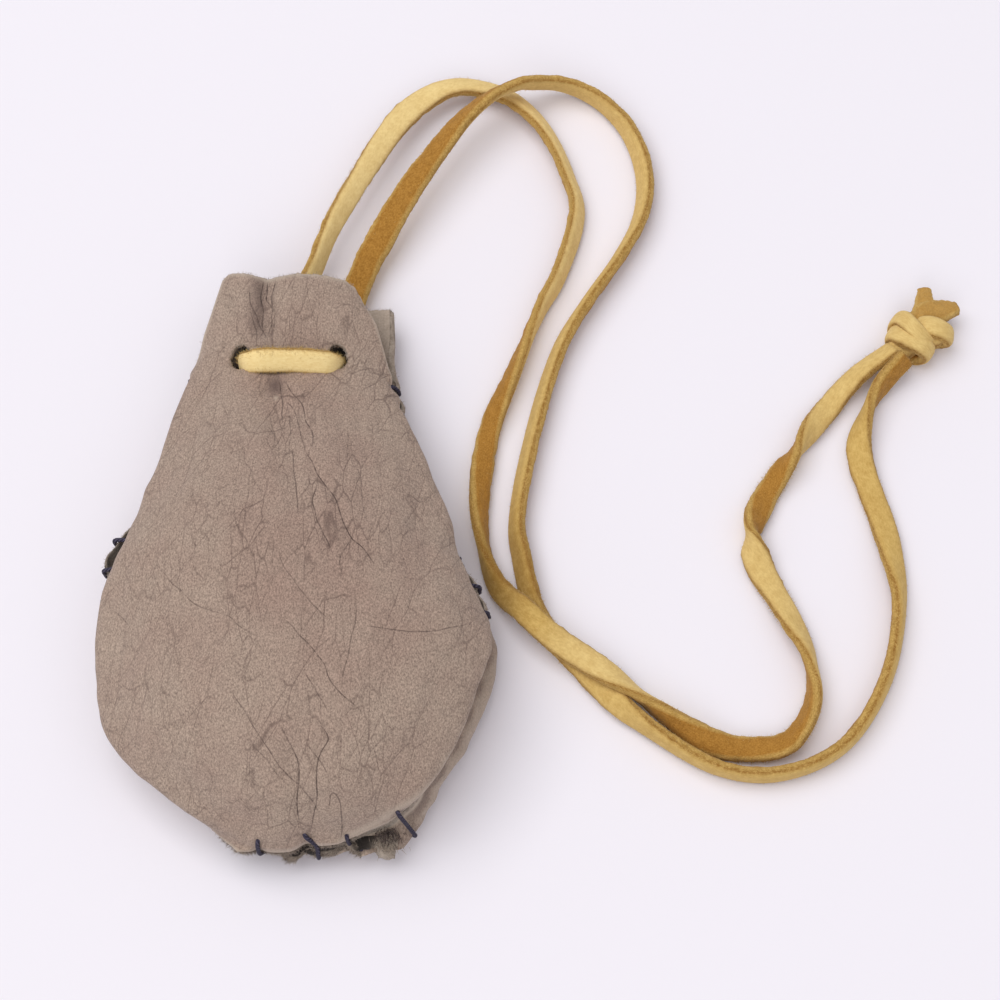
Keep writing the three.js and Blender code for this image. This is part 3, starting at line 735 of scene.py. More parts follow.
def frontGrid():
    form = bagForm
    y = rowYs(form["chinFrontY"], form["mouthFrontY"])
    at = sectionAt(y)
    y = np.repeat(y[:, None], form["acrossSamples"], axis=1)
    angle = np.linspace(0, math.pi, form["acrossSamples"])[None]
    across = 0.5 - 0.5 * np.cos(angle)
    rise = np.maximum(0, at["frontRise"]) * np.maximum(np.sin(angle), 0) ** at["frontPower"]
    rise[0] = 0
    x = at["leftX"] + (at["rightX"] - at["leftX"]) * across
    line = at["leftZ"] + (at["rightZ"] - at["leftZ"]) * across + form["edgeLip"] + at["frontLift"]
    z = line + rise - furrowDepth(x, y, frontFolds) * np.minimum(1, rise / form["foldFade"])
    atMouth = (y - form["mouthFrontY"] + form["mouthReach"]) / form["mouthReach"]
    y = y + smooth(atMouth) * between(across, form["mouthLine"])
    atChin = (form["chinFrontY"] + form["chinReach"] - y) / form["chinReach"]
    y = y + smooth(atChin) * between(across, form["chinLine"])
    return evenColumns(np.stack([x, y, z], axis=-1), form["columns"])


def backGrid():
    form = bagForm
    y = rowYs(form["chinBackY"], form["mouthBackY"])
    at = sectionAt(y)
    across = np.linspace(0, 1, form["acrossSamples"])[None]
    leftX, rightX = at["leftX"] + at["backShift"], at["rightX"] + at["backShift"]
    leftReach, rightReach, roll = form["backReachLeft"], form["backReachRight"], form["backRollShare"]
    leftRoll = 1 - np.minimum(1, across / roll)
    rightRoll = 1 - np.minimum(1, (1 - across) / roll)
    inner = np.clip((across - roll) / (1 - 2 * roll), 0, 1)
    x = leftX + leftReach + (rightX - rightReach - leftX - leftReach) * inner
    x = x - leftReach * (1 - (1 - leftRoll) ** 2) + rightReach * (1 - (1 - rightRoll) ** 2)
    x = x + at["backBulge"] * 4 * rightRoll * (1 - rightRoll)
    line = at["leftZ"] + (at["rightZ"] - at["leftZ"]) * across
    edge = line - form["edgeLip"] - at["backDrop"]
    corner = rising(across, form["cornerFrom"], form["cornerBlend"])
    sag = form["cornerSag"] * falling(y, form["cornerTopY"], form["cornerFade"])[:, None]
    rest = at["rest"] * (1 - sag * corner)
    lying = rest + (edge - rest) * np.maximum(leftRoll, rightRoll) ** form["backRollPower"]
    chinLength = form["backChinLength"] - form["cornerShorter"] * corner
    lift = smooth((y - form["chinBackY"])[:, None] / chinLength)
    z = np.maximum(0, edge + (lying - edge) * lift)
    y = np.repeat(y[:, None], form["acrossSamples"], axis=1)
    atChin = (form["chinBackY"] + form["backChinReach"] - y) / form["backChinReach"]
    y = y + smooth(atChin) * between(across, form["backChinLine"])
    lumpX, lumpY, wide, tall = form["cornerLump"]
    lump = bell(x, lumpX, wide) * bell(np.maximum(y, lumpY), lumpY, tall) * (1 - rightRoll ** 3)
    grid = np.stack([x, y, z], axis=-1) + lump[..., None] * np.array(form["lumpOut"])
    return evenColumns(grid, form["columns"])


def gridNormals(grid, side):
    return unit(np.cross(np.gradient(grid, axis=1), np.gradient(grid, axis=0))) * side


def runningLength(grid, axis):
    step = np.linalg.norm(np.diff(grid, axis=axis), axis=2)
    start = np.zeros((1, grid.shape[1])) if axis == 0 else np.zeros((grid.shape[0], 1))
    return np.concatenate([start, np.cumsum(step, axis=axis)], axis=axis)


def distances(grid):
    fromLeft = runningLength(grid, 1)
    fromChin = runningLength(grid, 0)
    return fromLeft, fromLeft[:, -1:] - fromLeft, fromChin, fromChin[-1:] - fromChin


seamShape = {
    "topY": 33.0, "reach": 1.7, "gapeOut": 0.35, "gapeUp": 0.3,
    "pinchIn": 0.4, "pinchDown": 0.35, "pinchHalf": 1.3,
    "chinStitchXs": (-4.6, 2.9, 9.6),
    "leftStitchYs": np.arange(-43.9, 32, 5.0), "rightStitchYs": np.arange(-40.9, 32, 4.75),
    "tuckReach": 2.8, "fullness": 0.75, "fullAt": 4.0, "fullHalf": 3.2,
    "leftTuck": [(-52, 0), (-50, 0.6), (-46, 2.4), (-9, 2.6), (-4, 1.1), (0, 0.3),
                 (4, 0.8), (10, 2.6), (22, 2.4), (32, 1.4), (41, 0.3), (53, 0)],
    "rightTuck": [(-52, 0), (-49, 0.4), (-45, 2.0), (-21, 2.2), (-15, 0.6), (-12, 0.2),
                  (-3, 0.3), (3, 2.2), (22, 2.0), (30, 0.6), (37, 0.2), (53, 0)],
    # gapes at the sides: amount, in from the edge, reach, y, half length
    "leftGape": (1, 0, 3.0, -1.4, 10.5), "leftGapeOut": 3.3,
    "rightGape": (1, 0, 2.8, -7.4, 5.0), "rightGapeOut": 0.9, "rightGapeIn": 1.3,
}


def pinchAt(place, stitches):
    return np.max([bell(place, stitch, seamShape["pinchHalf"]) for stitch in stitches], axis=0)


# the stitches pull the edges together, the leather gapes between them, and the sides roll over the seam
def sewEdges(grid, side):
    shape = seamShape
    fromLeft, fromRight, fromChin, _ = distances(grid)
    y = grid[:, :1, 1]
    sewn = falling(y, shape["topY"] + 2, 3)
    out = grid.copy()
    for away, pinch, direction, amount in (
        (fromLeft, pinchAt(y, shape["leftStitchYs"]), np.array([-1.0, 0, 0]), sewn),
        (fromRight, pinchAt(y, shape["rightStitchYs"]), np.array([1.0, 0, 0]), sewn),
        (fromChin, pinchAt(grid[:1, :, 0], shape["chinStitchXs"]), np.array([0, -1.0, 0]), 1.0),
    ):
        near = bell(away, 0, shape["reach"]) * amount
        out += (near * ((1 - pinch) * shape["gapeOut"] - pinch * shape["pinchIn"]))[..., None] * direction
        out[..., 2] += near * side * ((1 - pinch) * shape["gapeUp"] - pinch * shape["pinchDown"])
    for away, tucks, inward in ((fromLeft, shape["leftTuck"], 1.0), (fromRight, shape["rightTuck"], -1.0)):
        tuck = between(y, tucks) * inward
        out[..., 0] += tuck * bell(away, 0, shape["tuckReach"])
        if side > 0:
            out[..., 0] -= shape["fullness"] * tuck * bell(away, shape["fullAt"], shape["fullHalf"])
    rightGape = patch(fromRight, y, *shape["rightGape"])
    if side > 0:
        out[..., 0] -= shape["rightGapeIn"] * rightGape
    else:
        leftGape = patch(fromLeft, y, *shape["leftGape"])
        out[..., 0] += shape["rightGapeOut"] * rightGape - shape["leftGapeOut"] * leftGape
    return out


# creases of the front: depth, channel, points; creases that meet are in different channels
frontCreases = [
    (0.55, 0, [(-7.6, 51), (-7.5, 45), (-7.0, 39.5)]),
    (0.45, 1, [(-6.8, 51), (-7, 47), (-6, 44), (-6, 38.5)]),
    (0.40, 2, [(-5.4, 51), (-6, 46.5), (-5.5, 42.5), (-6, 38)]),
    (0.30, 3, [(-10.6, 49.7), (-9.4, 45.7), (-8.3, 42.2), (-6.6, 38.8), (-5.5, 36.8)]),
    (0.25, 2, [(-9.4, 44.4), (-8.6, 40.6), (-8.2, 36.8)]),
    (0.35, 0, [(-4, 30), (-3.5, 27.5), (-3, 25.5), (-3, 23), (-3, 19.5)]),
    (0.40, 1, [(-3, 30), (-1.5, 26.5), (0.5, 23.5), (1.5, 20), (2.5, 18), (2.8, 13)]),
    (0.25, 2, [(-2, 23.5), (-1.5, 20), (-1, 17), (-1, 12.5)]),
    (0.30, 3, [(-3, 25.5), (-1, 23), (0, 20), (1, 15.5), (2, 12.5)]),
    (0.20, 0, [(-5, 19.5), (-3.4, 16.5), (-3, 12.5)]),
    (0.35, 0, [(-1, 15.5), (0, 9.5), (1, 3), (1.5, -0.5)]),
    (0.55, 2, [(1, 15.5), (4, 8.5), (6.5, 5), (8, 1), (10, -3), (13, -6.5), (14.5, -10)]),
    (0.40, 3, [(4, 7.5), (3.5, 3), (4.5, -1), (6.5, -5), (7.5, -7)]),
    (0.28, 1, [(10, -3), (8.5, -7), (8.5, -11.5)]),
    (0.25, 0, [(-2.5, -5.5), (0, -10), (2.5, -13.5), (5.5, -17), (8.5, -19)]),
    (0.25, 1, [(-23, -6), (-17.5, -12), (-14, -15), (-9.5, -17), (-7.5, -19), (-3, -21.5)]),
    (0.35, 2, [(-1.5, -16.5), (1, -19.5), (4.5, -23), (7.5, -28.5), (9, -30.5), (14, -34.5)]),
    (0.25, 3, [(3, -26.5), (6, -31.5), (7.5, -34)]),
    (0.30, 0, [(-9.5, -28), (-7, -31.5), (-4.5, -35.5), (-1, -40.5), (2, -43.5), (5, -47), (6.5, -50)]),
    (0.55, 1, [(-1, -34.5), (1.5, -38.5), (2.5, -43), (2, -46), (3, -50)]),
    (0.55, 2, [(5, -34.5), (7, -37.5), (5.5, -40.5), (5.5, -44), (5, -46.5), (3.5, -50)]),
    (0.30, 3, [(3.5, -38), (5.5, -40.5), (7.2, -42.5)]),
    (0.30, 3, [(7, -47.5), (7.8, -45), (9, -46), (8.5, -50.5)]),
    (0.20, 3, [(-5.5, -37.5), (-1.5, -41.5), (1, -44)]),
    (0.30, 0, [(11.5, -19), (15.5, -19.5), (22, -19.5), (30.5, -16.5)]),
    (0.30, 1, [(11, -13), (11, -18.5), (10, -24), (9, -30.5)]),
    (0.20, 3, [(-29.5, -12.5), (-26.5, -16)]),
    (0.15, 3, [(-7, 14.5), (-7, 10), (-7.5, 2), (-7, -4.5)]),
    (0.15, 2, [(-2.5, -2.5), (-2.5, -9.5)]),
    (0.22, 1, [(-5.2, 22.4), (-4.4, 19.4), (-3.6, 17.4), (-3.7, 14.8)]),
    (0.20, 0, [(-9.6, 15.6), (-8.2, 11.6), (-6.4, 7.6), (-4.2, 3.4)]),
    (0.18, 1, [(-9.8, 4.6), (-9.2, 0.2), (-7.0, -4.4), (-5.2, -9.0)]),
    (0.22, 3, [(8.6, 18.4), (8.8, 15.2), (8.4, 11.6)]),
    (0.18, 0, [(9.6, 12.2), (11.2, 8.6), (11.6, 4.0), (12.4, -0.8)]),
    (0.18, 1, [(15.6, 3.2), (13.6, -1.8), (12.6, -5.4)]),
]
creaseShape = {
    "reach": 0.95, "fade": 0.4, "fullDepth": 0.45, "dipWidth": 0.8, "dipShare": 0.55, "deepest": 0.6,
    "wander": 0.12, "wanderPitch": 4.0, "margin": 2.5, "step": 0.5,
}


def noCreases(count):
    return np.tile([farOff, 0.0, 0.0], (count, 1))


# signed distance to the nearest crease of each channel, how strong it is there, and the dip it makes
def drawCreases(points):
    shape = creaseShape
    channels = [noCreases(len(points)) for _ in creaseChannels]
    dip = np.zeros(len(points))
    for number, (depth, channel, route) in enumerate(frontCreases):
        line = smoothLine([(x, y, 0) for x, y in route], shape["step"])[:, :3]
        line[:, 0] += ripple(line, shape["wanderPitch"], 200 + number) * shape["wander"]
        low, high = line.min(axis=0) - shape["margin"], line.max(axis=0) + shape["margin"]
        close = np.flatnonzero(((points[:, :2] > low[:2]) & (points[:, :2] < high[:2])).all(axis=1))
        spots = points[close, :2]
        best, side, where = np.full(len(close), farOff), np.zeros(len(close)), np.zeros(len(close))
        for k in range(len(line) - 1):
            a, along = line[k, :2], line[k + 1, :2] - line[k, :2]
            off = spots - a
            t = np.clip(off @ along / (along @ along), 0, 1)
            gap = np.linalg.norm(off - t[:, None] * along, axis=1)
            nearer = gap < best
            best[nearer] = gap[nearer]
            side[nearer] = np.sign(along[0] * off[nearer, 1] - along[1] * off[nearer, 0])
            where[nearer] = (k + t[nearer]) / (len(line) - 1)
        ends = smooth(np.minimum(where, 1 - where) * 5)
        near = falling(best, shape["reach"], shape["fade"])
        strength = np.minimum(1, depth / shape["fullDepth"]) * ends * near
        marks = channels[channel]
        win = best < np.abs(marks[close, 0])
        marks[close[win], 0] = (best * side)[win]
        marks[close[win], 1] = strength[win]
        dip[close] += shape["dipShare"] * depth * ends * bell(best, 0, shape["dipWidth"])
    return channels, np.minimum(dip, shape["deepest"])


# the flesh side of a panel, which is drawn together with the grain side along the sewn edges
def fleshSide(grid, side, normals):
    form = bagForm
    fromLeft, fromRight, fromChin, _ = distances(grid)
    sewn = falling(grid[:, :1, 1], seamShape["topY"] + 3, 4)
    beside = bell(np.minimum(fromLeft, fromRight), 0, form["lipReach"]) * sewn
    lip = np.maximum(beside, bell(fromChin, 0, form["lipReach"]))[..., None]
    inward = np.zeros_like(grid)
    inward[..., 0] = form["edgeInset"] * np.where(fromLeft < fromRight, 1, -1)
    inward[..., 1] = np.where(fromChin < 2, form["edgeInset"], 0)
    inward[..., 2] = -side * (form["edgeLip"] - form["seamGap"] / 2)
    return grid - normals * form["leather"] * (1 - lip) + inward * lip


# takes out the faces inside the lace slots and draws the points round them onto an oval
def cutSlots(outer, inner, normals, quads):
    halves = np.array([bagForm["slotHalfWidth"], bagForm["slotHalfLength"]])
    centres = outer[quads].mean(axis=1)
    keep = np.ones(len(quads), bool)
    for slotX in bagForm["slotXs"]:
        middle = np.array([slotX, bagForm["slotY"]])
        cut = np.hypot(*((centres[:, :2] - middle) / halves).T) < 1
        keep &= ~cut
        rim = np.intersect1d(quads[cut].ravel(), quads[~cut].ravel())
        off = outer[rim, :2] - middle
        shift = off * (1 / np.hypot(*(off / halves).T) - 1)[:, None]
        steep = np.where(np.abs(normals[rim, 2]) < 0.2, 1, normals[rim, 2])
        drop = -(normals[rim, :2] * shift).sum(axis=1) / steep
        for layer in (outer, inner):
            layer[rim, :2] += shift
            layer[rim, 2] += drop
    return quads[keep]


# the open edges of the faces, the points along them and the way out of the leather there
def rawEdge(outer, quads):
    n = len(outer)
    edges = np.vstack([quads[:, [k, (k + 1) % 4]] for k in range(4)])
    codes, back = edges[:, 0] * n + edges[:, 1], edges[:, 1] * n + edges[:, 0]
    border = edges[~np.isin(codes, back)]
    rimIds = np.unique(border)
    total, count = np.zeros((n, 3)), np.zeros(n)
    middle = outer[quads].mean(axis=1)
    for k in range(4):
        np.add.at(total, quads[:, k], middle)
        np.add.at(count, quads[:, k], 1)
    return border, rimIds, unit(outer[rimIds] - total[rimIds] / count[rimIds][:, None])


fleshLook = {
    "flapReach": (8, 3), "flapFrom": (26, 5), "flapGrain": 0.6, "flapLightened": 0.5,  # painted lighter, against the front flap's shade, where it is seen beside the front flap
    # the painted shade deepens away from the mouth and the side edges, but spares the lump at the lower right
    "depth": (10, 5), "edgePale": (1.5, 3), "deepest": 0.95,
    "cornerFrom": (13, 2), "cornerBelow": (-46, 2),
    "slotShade": 1.3, "slotOff": (0.6, 4.5), "slotHalf": (2.6, 4),  # painted shade on what is seen through the slots, which lies deep
    "gape": (0.65, 0, 6, -1.4, 6.5), "gapeRim": 0.6, "rimFlesh": 0.9,
}


# where the flesh side looks like the grain side, the shade painted on it deep in the pouch and behind the
# slots, and the shade painted in the gape
def fleshShades(grid, side, away):
    look = fleshLook
    fromLeft, fromRight, _, fromMouth = away
    x, y = grid[..., 0], grid[..., 1]
    flap = falling(fromRight, *look["flapReach"]) * rising(y, *look["flapFrom"]) * (side < 0)
    dark = rising(fromMouth, *look["depth"]) * rising(np.minimum(fromLeft, fromRight), *look["edgePale"])
    dark = dark * (1 - flap)
    dark = dark * (1 - rising(x, *look["cornerFrom"]) * falling(y, *look["cornerBelow"]))
    for slotX in bagForm["slotXs"]:
        atX, atY = slotX + look["slotOff"][0], bagForm["slotY"] + look["slotOff"][1]
        behind = patch(x, y, look["slotShade"], atX, look["slotHalf"][0], atY, look["slotHalf"][1])
        dark = np.maximum(dark, np.minimum(1, behind))
    gaping = patch(fromLeft, y, *look["gape"])
    return flap.ravel(), np.maximum(look["deepest"] * dark, gaping).ravel(), gaping.ravel()


# gives a panel its thickness, its lace slots and a rounded raw edge
def closeSheet(grid, side, panelMarks):
    form, look = bagForm, fleshLook
    away, normals = distances(grid), gridNormals(grid, side)
    inner = fleshSide(grid, side, normals).reshape(-1, 3)
    outer, normals = grid.reshape(-1, 3), normals.reshape(-1, 3)
    n = len(outer)
    index = np.arange(n).reshape(grid.shape[:2])
    quads = np.stack([index[:-1, :-1], index[:-1, 1:], index[1:, 1:], index[1:, :-1]], axis=-1).reshape(-1, 4)
    if side < 0:
        quads = quads[:, ::-1]
    quads = cutSlots(outer, inner, normals, quads)
    border, rimIds, outward = rawEdge(outer, quads)
    place = np.zeros(n, int)
    place[rimIds] = np.arange(len(rimIds))
    rings, levels = [], [border]
    for k in range(1, form["rimRings"] + 1):
        t = k / (form["rimRings"] + 1)
        ring = outer[rimIds] + (inner[rimIds] - outer[rimIds]) * t
        rough, pitch = form["rimRough"]
        swell = form["rimSwell"] * math.sin(math.pi * t) + rough * ripple(ring, pitch, 31 + k)
        rings.append(ring + outward * swell[:, None])
        levels.append(place[border] + 2 * n + (k - 1) * len(rimIds))
    levels.append(border + n)
    points = np.vstack([outer, inner] + rings)
    keepAbove(points)
    faces = [quads, quads[:, ::-1] + n]
    for a, b in zip(levels[:-1], levels[1:]):
        faces.append(np.stack([a[:, 1], a[:, 0], b[:, 0], b[:, 1]], axis=1))
    rimCount = len(rimIds) * form["rimRings"]
    marks = {}
    for key, values in panelMarks.items():
        plain = np.zeros(n + rimCount) if values.ndim == 1 else noCreases(n + rimCount)
        marks[key] = np.concatenate([values, plain])
    flap, dark, gaping = fleshShades(grid, side, away)
    rimFlesh = np.full(rimCount, look["rimFlesh"])
    # the back flap's flesh side is painted lighter where it shows beside the front flap
    marks["flesh"] = np.concatenate([np.zeros(n), 1 - look["flapGrain"] * flap, rimFlesh])
    marks["wearAndLight"][n:2 * n] = look["flapLightened"] * flap
    rimDark = np.tile(look["gapeRim"] * gaping[rimIds], form["rimRings"])
    # inside holds the shade painted on the flesh side and on the rim in the gape
    marks["inside"] = np.concatenate([np.zeros(n), dark, rimDark])
    used = np.unique(np.concatenate([f.ravel() for f in faces]))
    renumber = np.zeros(len(points), int)
    renumber[used] = np.arange(len(used))
    rimSpots = {"outer": outer[rimIds], "inner": inner[rimIds], "outward": outward, "normal": normals[rimIds]}
    return points[used], [renumber[f] for f in faces], {k: v[used] for k, v in marks.items()}, rimSpots


edgeWear = {"pale": 0.75, "reach": 0.9, "calm": (1, 4)}  # so near the edge the leather doesn't waver


def fromNearestEdge(away):
    return np.minimum.reduce(away).ravel()


def rubbedEdge(fromEdge):
    return edgeWear["pale"] * falling(fromEdge, edgeWear["reach"], edgeWear["reach"])


# patches give amount, x, half width, y, half height; wavers give height, pitch, seed and how y is stretched
frontLook = {
    "wavers": ((0.12, 8, 41, 0.6), (0.05, 3.4, 42, 0.7)),
    "blush": ((0.6, 4, 16, -8, 26), (0.4, -3, 10, 30, 9)),
    "scar": (0.7, -4.2, 0.35, 25.6, 0.45),
    # the neck patch is painted shade on the pleat's left slope: amount, x, half width
    "slotStain": (0.85, -4.5, 1.5, 28.4, 2.2), "neckShade": (0.5, -8.2, 1.8),
    "rolledHighlight": 0.6, "rolledHalf": 1.1, "rolledBelow": (-17, 4), "neckFrom": (36, 6),
}
backLook = {
    "wavers": ((0.2, 8, 51, 0.6), (0.08, 3.2, 52, 1)),
    "blush": (0.25, 0, 18, -8, 26),
    # the gape patch is painted shade in the gape at the left
    "gapeShade": (0.85, 0, 4.5, 0.4, 5.5), "seamShadow": (0.6, 1.0, 1.6),
    "borderPale": 0.15, "borderReach": 5, "lined": 0.5,
    "rollLightened": 0.48, "rollFrom": (1.5, 2), "rollTo": (12, 6), "rollBelow": (-14, 6), "rollAbove": (-47, 3),
}


def wavered(flat, wavers):
    return sum(high * ripple(flat * [1, stretch, 1], pitch, seed) for high, pitch, seed, stretch in wavers)


def frontLeather():
    look = frontLook
    grid = sewEdges(frontGrid(), 1)
    flat = grid.reshape(-1, 3)
    channels, dip = drawCreases(flat)
    away = distances(grid)
    fromEdge, fromRight = fromNearestEdge(away), away[1].ravel()
    calm = rising(fromEdge, *edgeWear["calm"])
    push = calm * wavered(flat, look["wavers"]) - dip
    moved = flat + gridNormals(grid, 1).reshape(-1, 3) * push[:, None]
    x, y = moved[:, 0], moved[:, 1]
    # painted highlight along the front's rolled right edge, partly pale wear
    turnedAt = 0.5 + 1.25 * between(y, seamShape["rightTuck"])
    rolled = bell(fromRight, turnedAt, look["rolledHalf"]) * falling(y, *look["rolledBelow"])
    # painted shade on the pleat's left slope at the neck, which faces away from the lamp
    amount, neckX, wide = look["neckShade"]
    neckShade = amount * bell(x, neckX, wide) * rising(y, *look["neckFrom"])
    marks = {
        "blush": sum(patch(x, y, *spot) for spot in look["blush"]),
        "wearAndLight": np.maximum.reduce([
            rubbedEdge(fromEdge), look["rolledHighlight"] * rolled, patch(x, y, *look["scar"]),
        ]),
        "lined": np.clip(0.45 + 0.55 * bell(x, 3, 18) * (0.5 + 0.5 * bell(y, 6, 24)), 0, 1),
        "stainAndShade": np.clip(patch(x, y, *look["slotStain"]) + neckShade, 0, 1),
        **dict(zip(creaseChannels, channels)),
    }
    grid = moved.reshape(grid.shape)
    return grid, closeSheet(grid, 1, marks)


def backLeather():
    look = backLook
    grid = sewEdges(backGrid(), -1)
    flat = grid.reshape(-1, 3)
    away = distances(grid)
    fromEdge, fromLeft, fromRight = fromNearestEdge(away), away[0].ravel(), away[1].ravel()
    calm = rising(flat[:, 2], 0.4, 2) * rising(fromEdge, *edgeWear["calm"])
    push = calm * wavered(flat, look["wavers"])
    moved = flat + gridNormals(grid, -1).reshape(-1, 3) * push[:, None]
    keepAbove(moved)
    x, y = moved[:, 0], moved[:, 1]
    lowRight = falling(y, *look["rollBelow"]) * rising(y, *look["rollAbove"])
    border = look["borderPale"] * falling(fromEdge, look["borderReach"], look["borderReach"])
    # painted light on the back's roll at the lower right, which faces away from the lamp; partly paler wear
    turned = rising(fromRight, *look["rollFrom"]) * falling(fromRight, *look["rollTo"])
    # painted contact shadow on the back's band along the right seam, under the front's rolled edge
    amount, inFrom, wide = look["seamShadow"]
    seamShadow = amount * bell(fromRight, inFrom, wide) * lowRight
    marks = {
        "blush": patch(x, y, *look["blush"]),
        "wearAndLight": np.maximum(rubbedEdge(fromEdge) + border, look["rollLightened"] * turned * lowRight),
        "lined": np.full(len(moved), look["lined"]),
        "stainAndShade": np.maximum(patch(fromLeft, y, *look["gapeShade"]), seamShadow),
        **{channel: noCreases(len(moved)) for channel in creaseChannels},
    }
    grid = moved.reshape(grid.shape)
    return grid, closeSheet(grid, -1, marks)


frontShape, (points, faces, marks, frontRim) = frontLeather()
frontPanel = addPiece("front_leather", points, faces, nubuck, marks)
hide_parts("front_panel")
backShape, (points, faces, marks, backRim) = backLeather()
backPanel = addPiece("back_leather", points, faces, nubuck, marks)
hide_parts("back_panel")

fineStep = 0.3  # along the bridge, the knot and the stitches
# lace across the front, between the slots; x, y, z, roll and width
bridgeRoute = [
    (-10.6, 34.4, 3.4, 0, 3.6), (-10.6, 34.2, 9.0, -4, 3.6), (-10.3, 33.6, 12.6, -22, 3.7),
    (-9.1, 33.0, 15.0, -40, 4.0), (-6.6, 32.8, 16.0, -47, 4.3), (-2.4, 32.7, 16.3, -49, 4.2),
    (2.0, 32.6, 16.0, -47, 4.3), (4.6, 32.7, 15.0, -40, 4.0), (5.8, 33.3, 12.6, -22, 3.7),
    (5.9, 34.2, 9.0, -4, 3.6), (5.9, 34.4, 3.4, 0, 3.6),
]
bridgeForm = {"thickness": 1.7, "clean": 1.0, "waver": 0.12, "wavers": 15}


def addBridge():
    form = bridgeForm
    line = smoothLine(bridgeRoute, fineStep)
    centres, rolls = line[:, :3], line[:, 3]
    widths = line[:, 4] + form["waver"] * np.sin(np.linspace(0, form["wavers"], len(line)))
    across = np.array([0, -1.0, 0])
    look = (form["clean"], form["thickness"], across)
    points, faces, marks, guide = sweepLace(centres, rolls, widths, 13, *look)
    bridge = addPiece("bridge_lace", points, faces, lace, marks)
    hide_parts("thong_bridge")
    return {"centres": centres, "guide": guide, "width": widths}


bridgeLay = addBridge()

# turns of lace drawn tight: centre x, y, z, half length, half height, direction in degrees, lean, width
knotTurns = [
    (107.3, 42.3, 3.5, 3.4, 2.4, -30, 0.3, 3.5),
    (107.8, 44.5, 3.8, 3.3, 2.6, -36, 0.7, 3.3),
    (111.4, 44.6, 3.6, 2.9, 2.3, -8, 0.3, 3.8),
]
# the lace drawn through the turns, and the two cut ends: x, y, z, width
knotHeart = [
    (104.8, 40.9, 3.0, 4.2), (107.4, 43.2, 3.5, 5.4), (110.0, 44.2, 3.6, 5.8), (112.8, 44.4, 3.4, 4.4),
]
knotTails = [
    [(108.6, 44.6, 4.2, 4.6), (109.8, 47.0, 4.9, 4.7), (110.4, 49.8, 4.6, 4.0), (110.8, 53.2, 3.8, 2.8)],
    [(108.4, 46.4, 4.4, 4.0), (110.4, 47.8, 4.8, 4.8), (113.0, 48.7, 4.5, 4.6), (116.2, 49.7, 3.9, 2.6)],
]
# the turns, the heart and the tails tell how clean and how thick their lace is
knotForm = {
    "turnSamples": 90, "turn": (0.3, 2.3), "heart": (0.2, 3.6), "tail": (0.1, 2.0),
    "tailRolls": (165, 195), "tailSuede": 0.65,
}


def addKnot():
    form = knotForm
    parts = []
    angle = np.linspace(0, 2 * math.pi, form["turnSamples"], endpoint=False)
    for number, (x, y, z, halfLong, halfTall, way, lean, width) in enumerate(knotTurns):
        heading = math.radians(way)
        along = np.array([math.cos(heading), math.sin(heading), 0])
        axis = np.array([-math.sin(heading), math.cos(heading), 0])
        line = (np.array([x, y, z]) + along * (halfLong * np.cos(angle))[:, None]
                + np.array([0, 0, 1]) * (halfTall * np.sin(angle))[:, None]
                + axis * (lean * np.cos(2 * angle + number))[:, None])
        parts.append(sweepLace(line, 0.0, width, 14 + number, *form["turn"], axis, closed=True)[:3])
    line = smoothLine(knotHeart, fineStep)
    parts.append(sweepLace(line[:, :3], 0.0, line[:, 3], 17, *form["heart"])[:3])
    for number, route in enumerate(knotTails):
        line = smoothLine(route, fineStep)
        rolls = np.linspace(*form["tailRolls"], len(line))
        part = sweepLace(line[:, :3], rolls, line[:, 3], 18 + number, *form["tail"])[:3]
        # the tails' suede faces are painted lighter, toward the grain colour, as they catch the light
        part[2]["suede"] *= form["tailSuede"]
        parts.append(part)
    points, faces, marks = joinParts(parts)
    knot = addPiece("knot_lace", points, faces, lace, marks)
    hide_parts("knot")
    return knot


knot = addKnot()

stitchForm = {
    "radius": 0.36, "sides": 8, "slant": 2.0, "sideSlant": 0.8, "holeDepth": 1.0, "edgeLift": 0.15,
    "frontIn": 1.4, "chinIn": 0.5, "backIn": 1.0, "proud": 0.25, "hiddenIn": 0.5, "hiddenProud": 0.05,
    "leftShown": (0.5, 6), "rightShown": (-8, 7),  # y and half length of the gapes, where they are seen
    "cornerFrom": (18.9, -48.5), "cornerTo": (20.9, -48.4), "cornerProud": 0.3, "cornerArch": 0.35,
}
seamWays = {"chin": np.array([0, -1.0, 0]), "left": np.array([-1.0, 0, 0]), "right": np.array([1.0, 0, 0])}


# a point on a panel, some way in from the sewn edge, and the way its leather faces there
def seamSpot(grid, side, where, position, inset):
    normals = gridNormals(grid, side)
    if where == "chin":
        column = int(np.abs(grid[0, :, 0] - position).argmin())
        target = grid[0, column, :2] + [position - grid[0, column, 0], inset]
        near = np.linalg.norm(grid[:40, :, :2] - target, axis=2)
        row, column = np.unravel_index(near.argmin(), near.shape)
        return grid[row, column], normals[row, column]
    edgeColumn = 0 if where == "left" else -1
    row = int(np.abs(grid[:, edgeColumn, 1] - position).argmin())
    line, lineNormals = grid[row], normals[row]
    if where == "right":
        line, lineNormals = line[::-1], lineNormals[::-1]
    k = int(np.abs(lengthsAlong(line) - inset).argmin())
    return line[k], lineNormals[k]


# the uppermost spot of a panel near the given x, y
def topSpot(grid, side, x, y):
    score = np.hypot(grid[..., 0] - x, grid[..., 1] - y) - 0.1 * grid[..., 2]
    row, column = np.unravel_index(score.argmin(), score.shape)
    return grid[row, column], gridNormals(grid, side)[row, column]


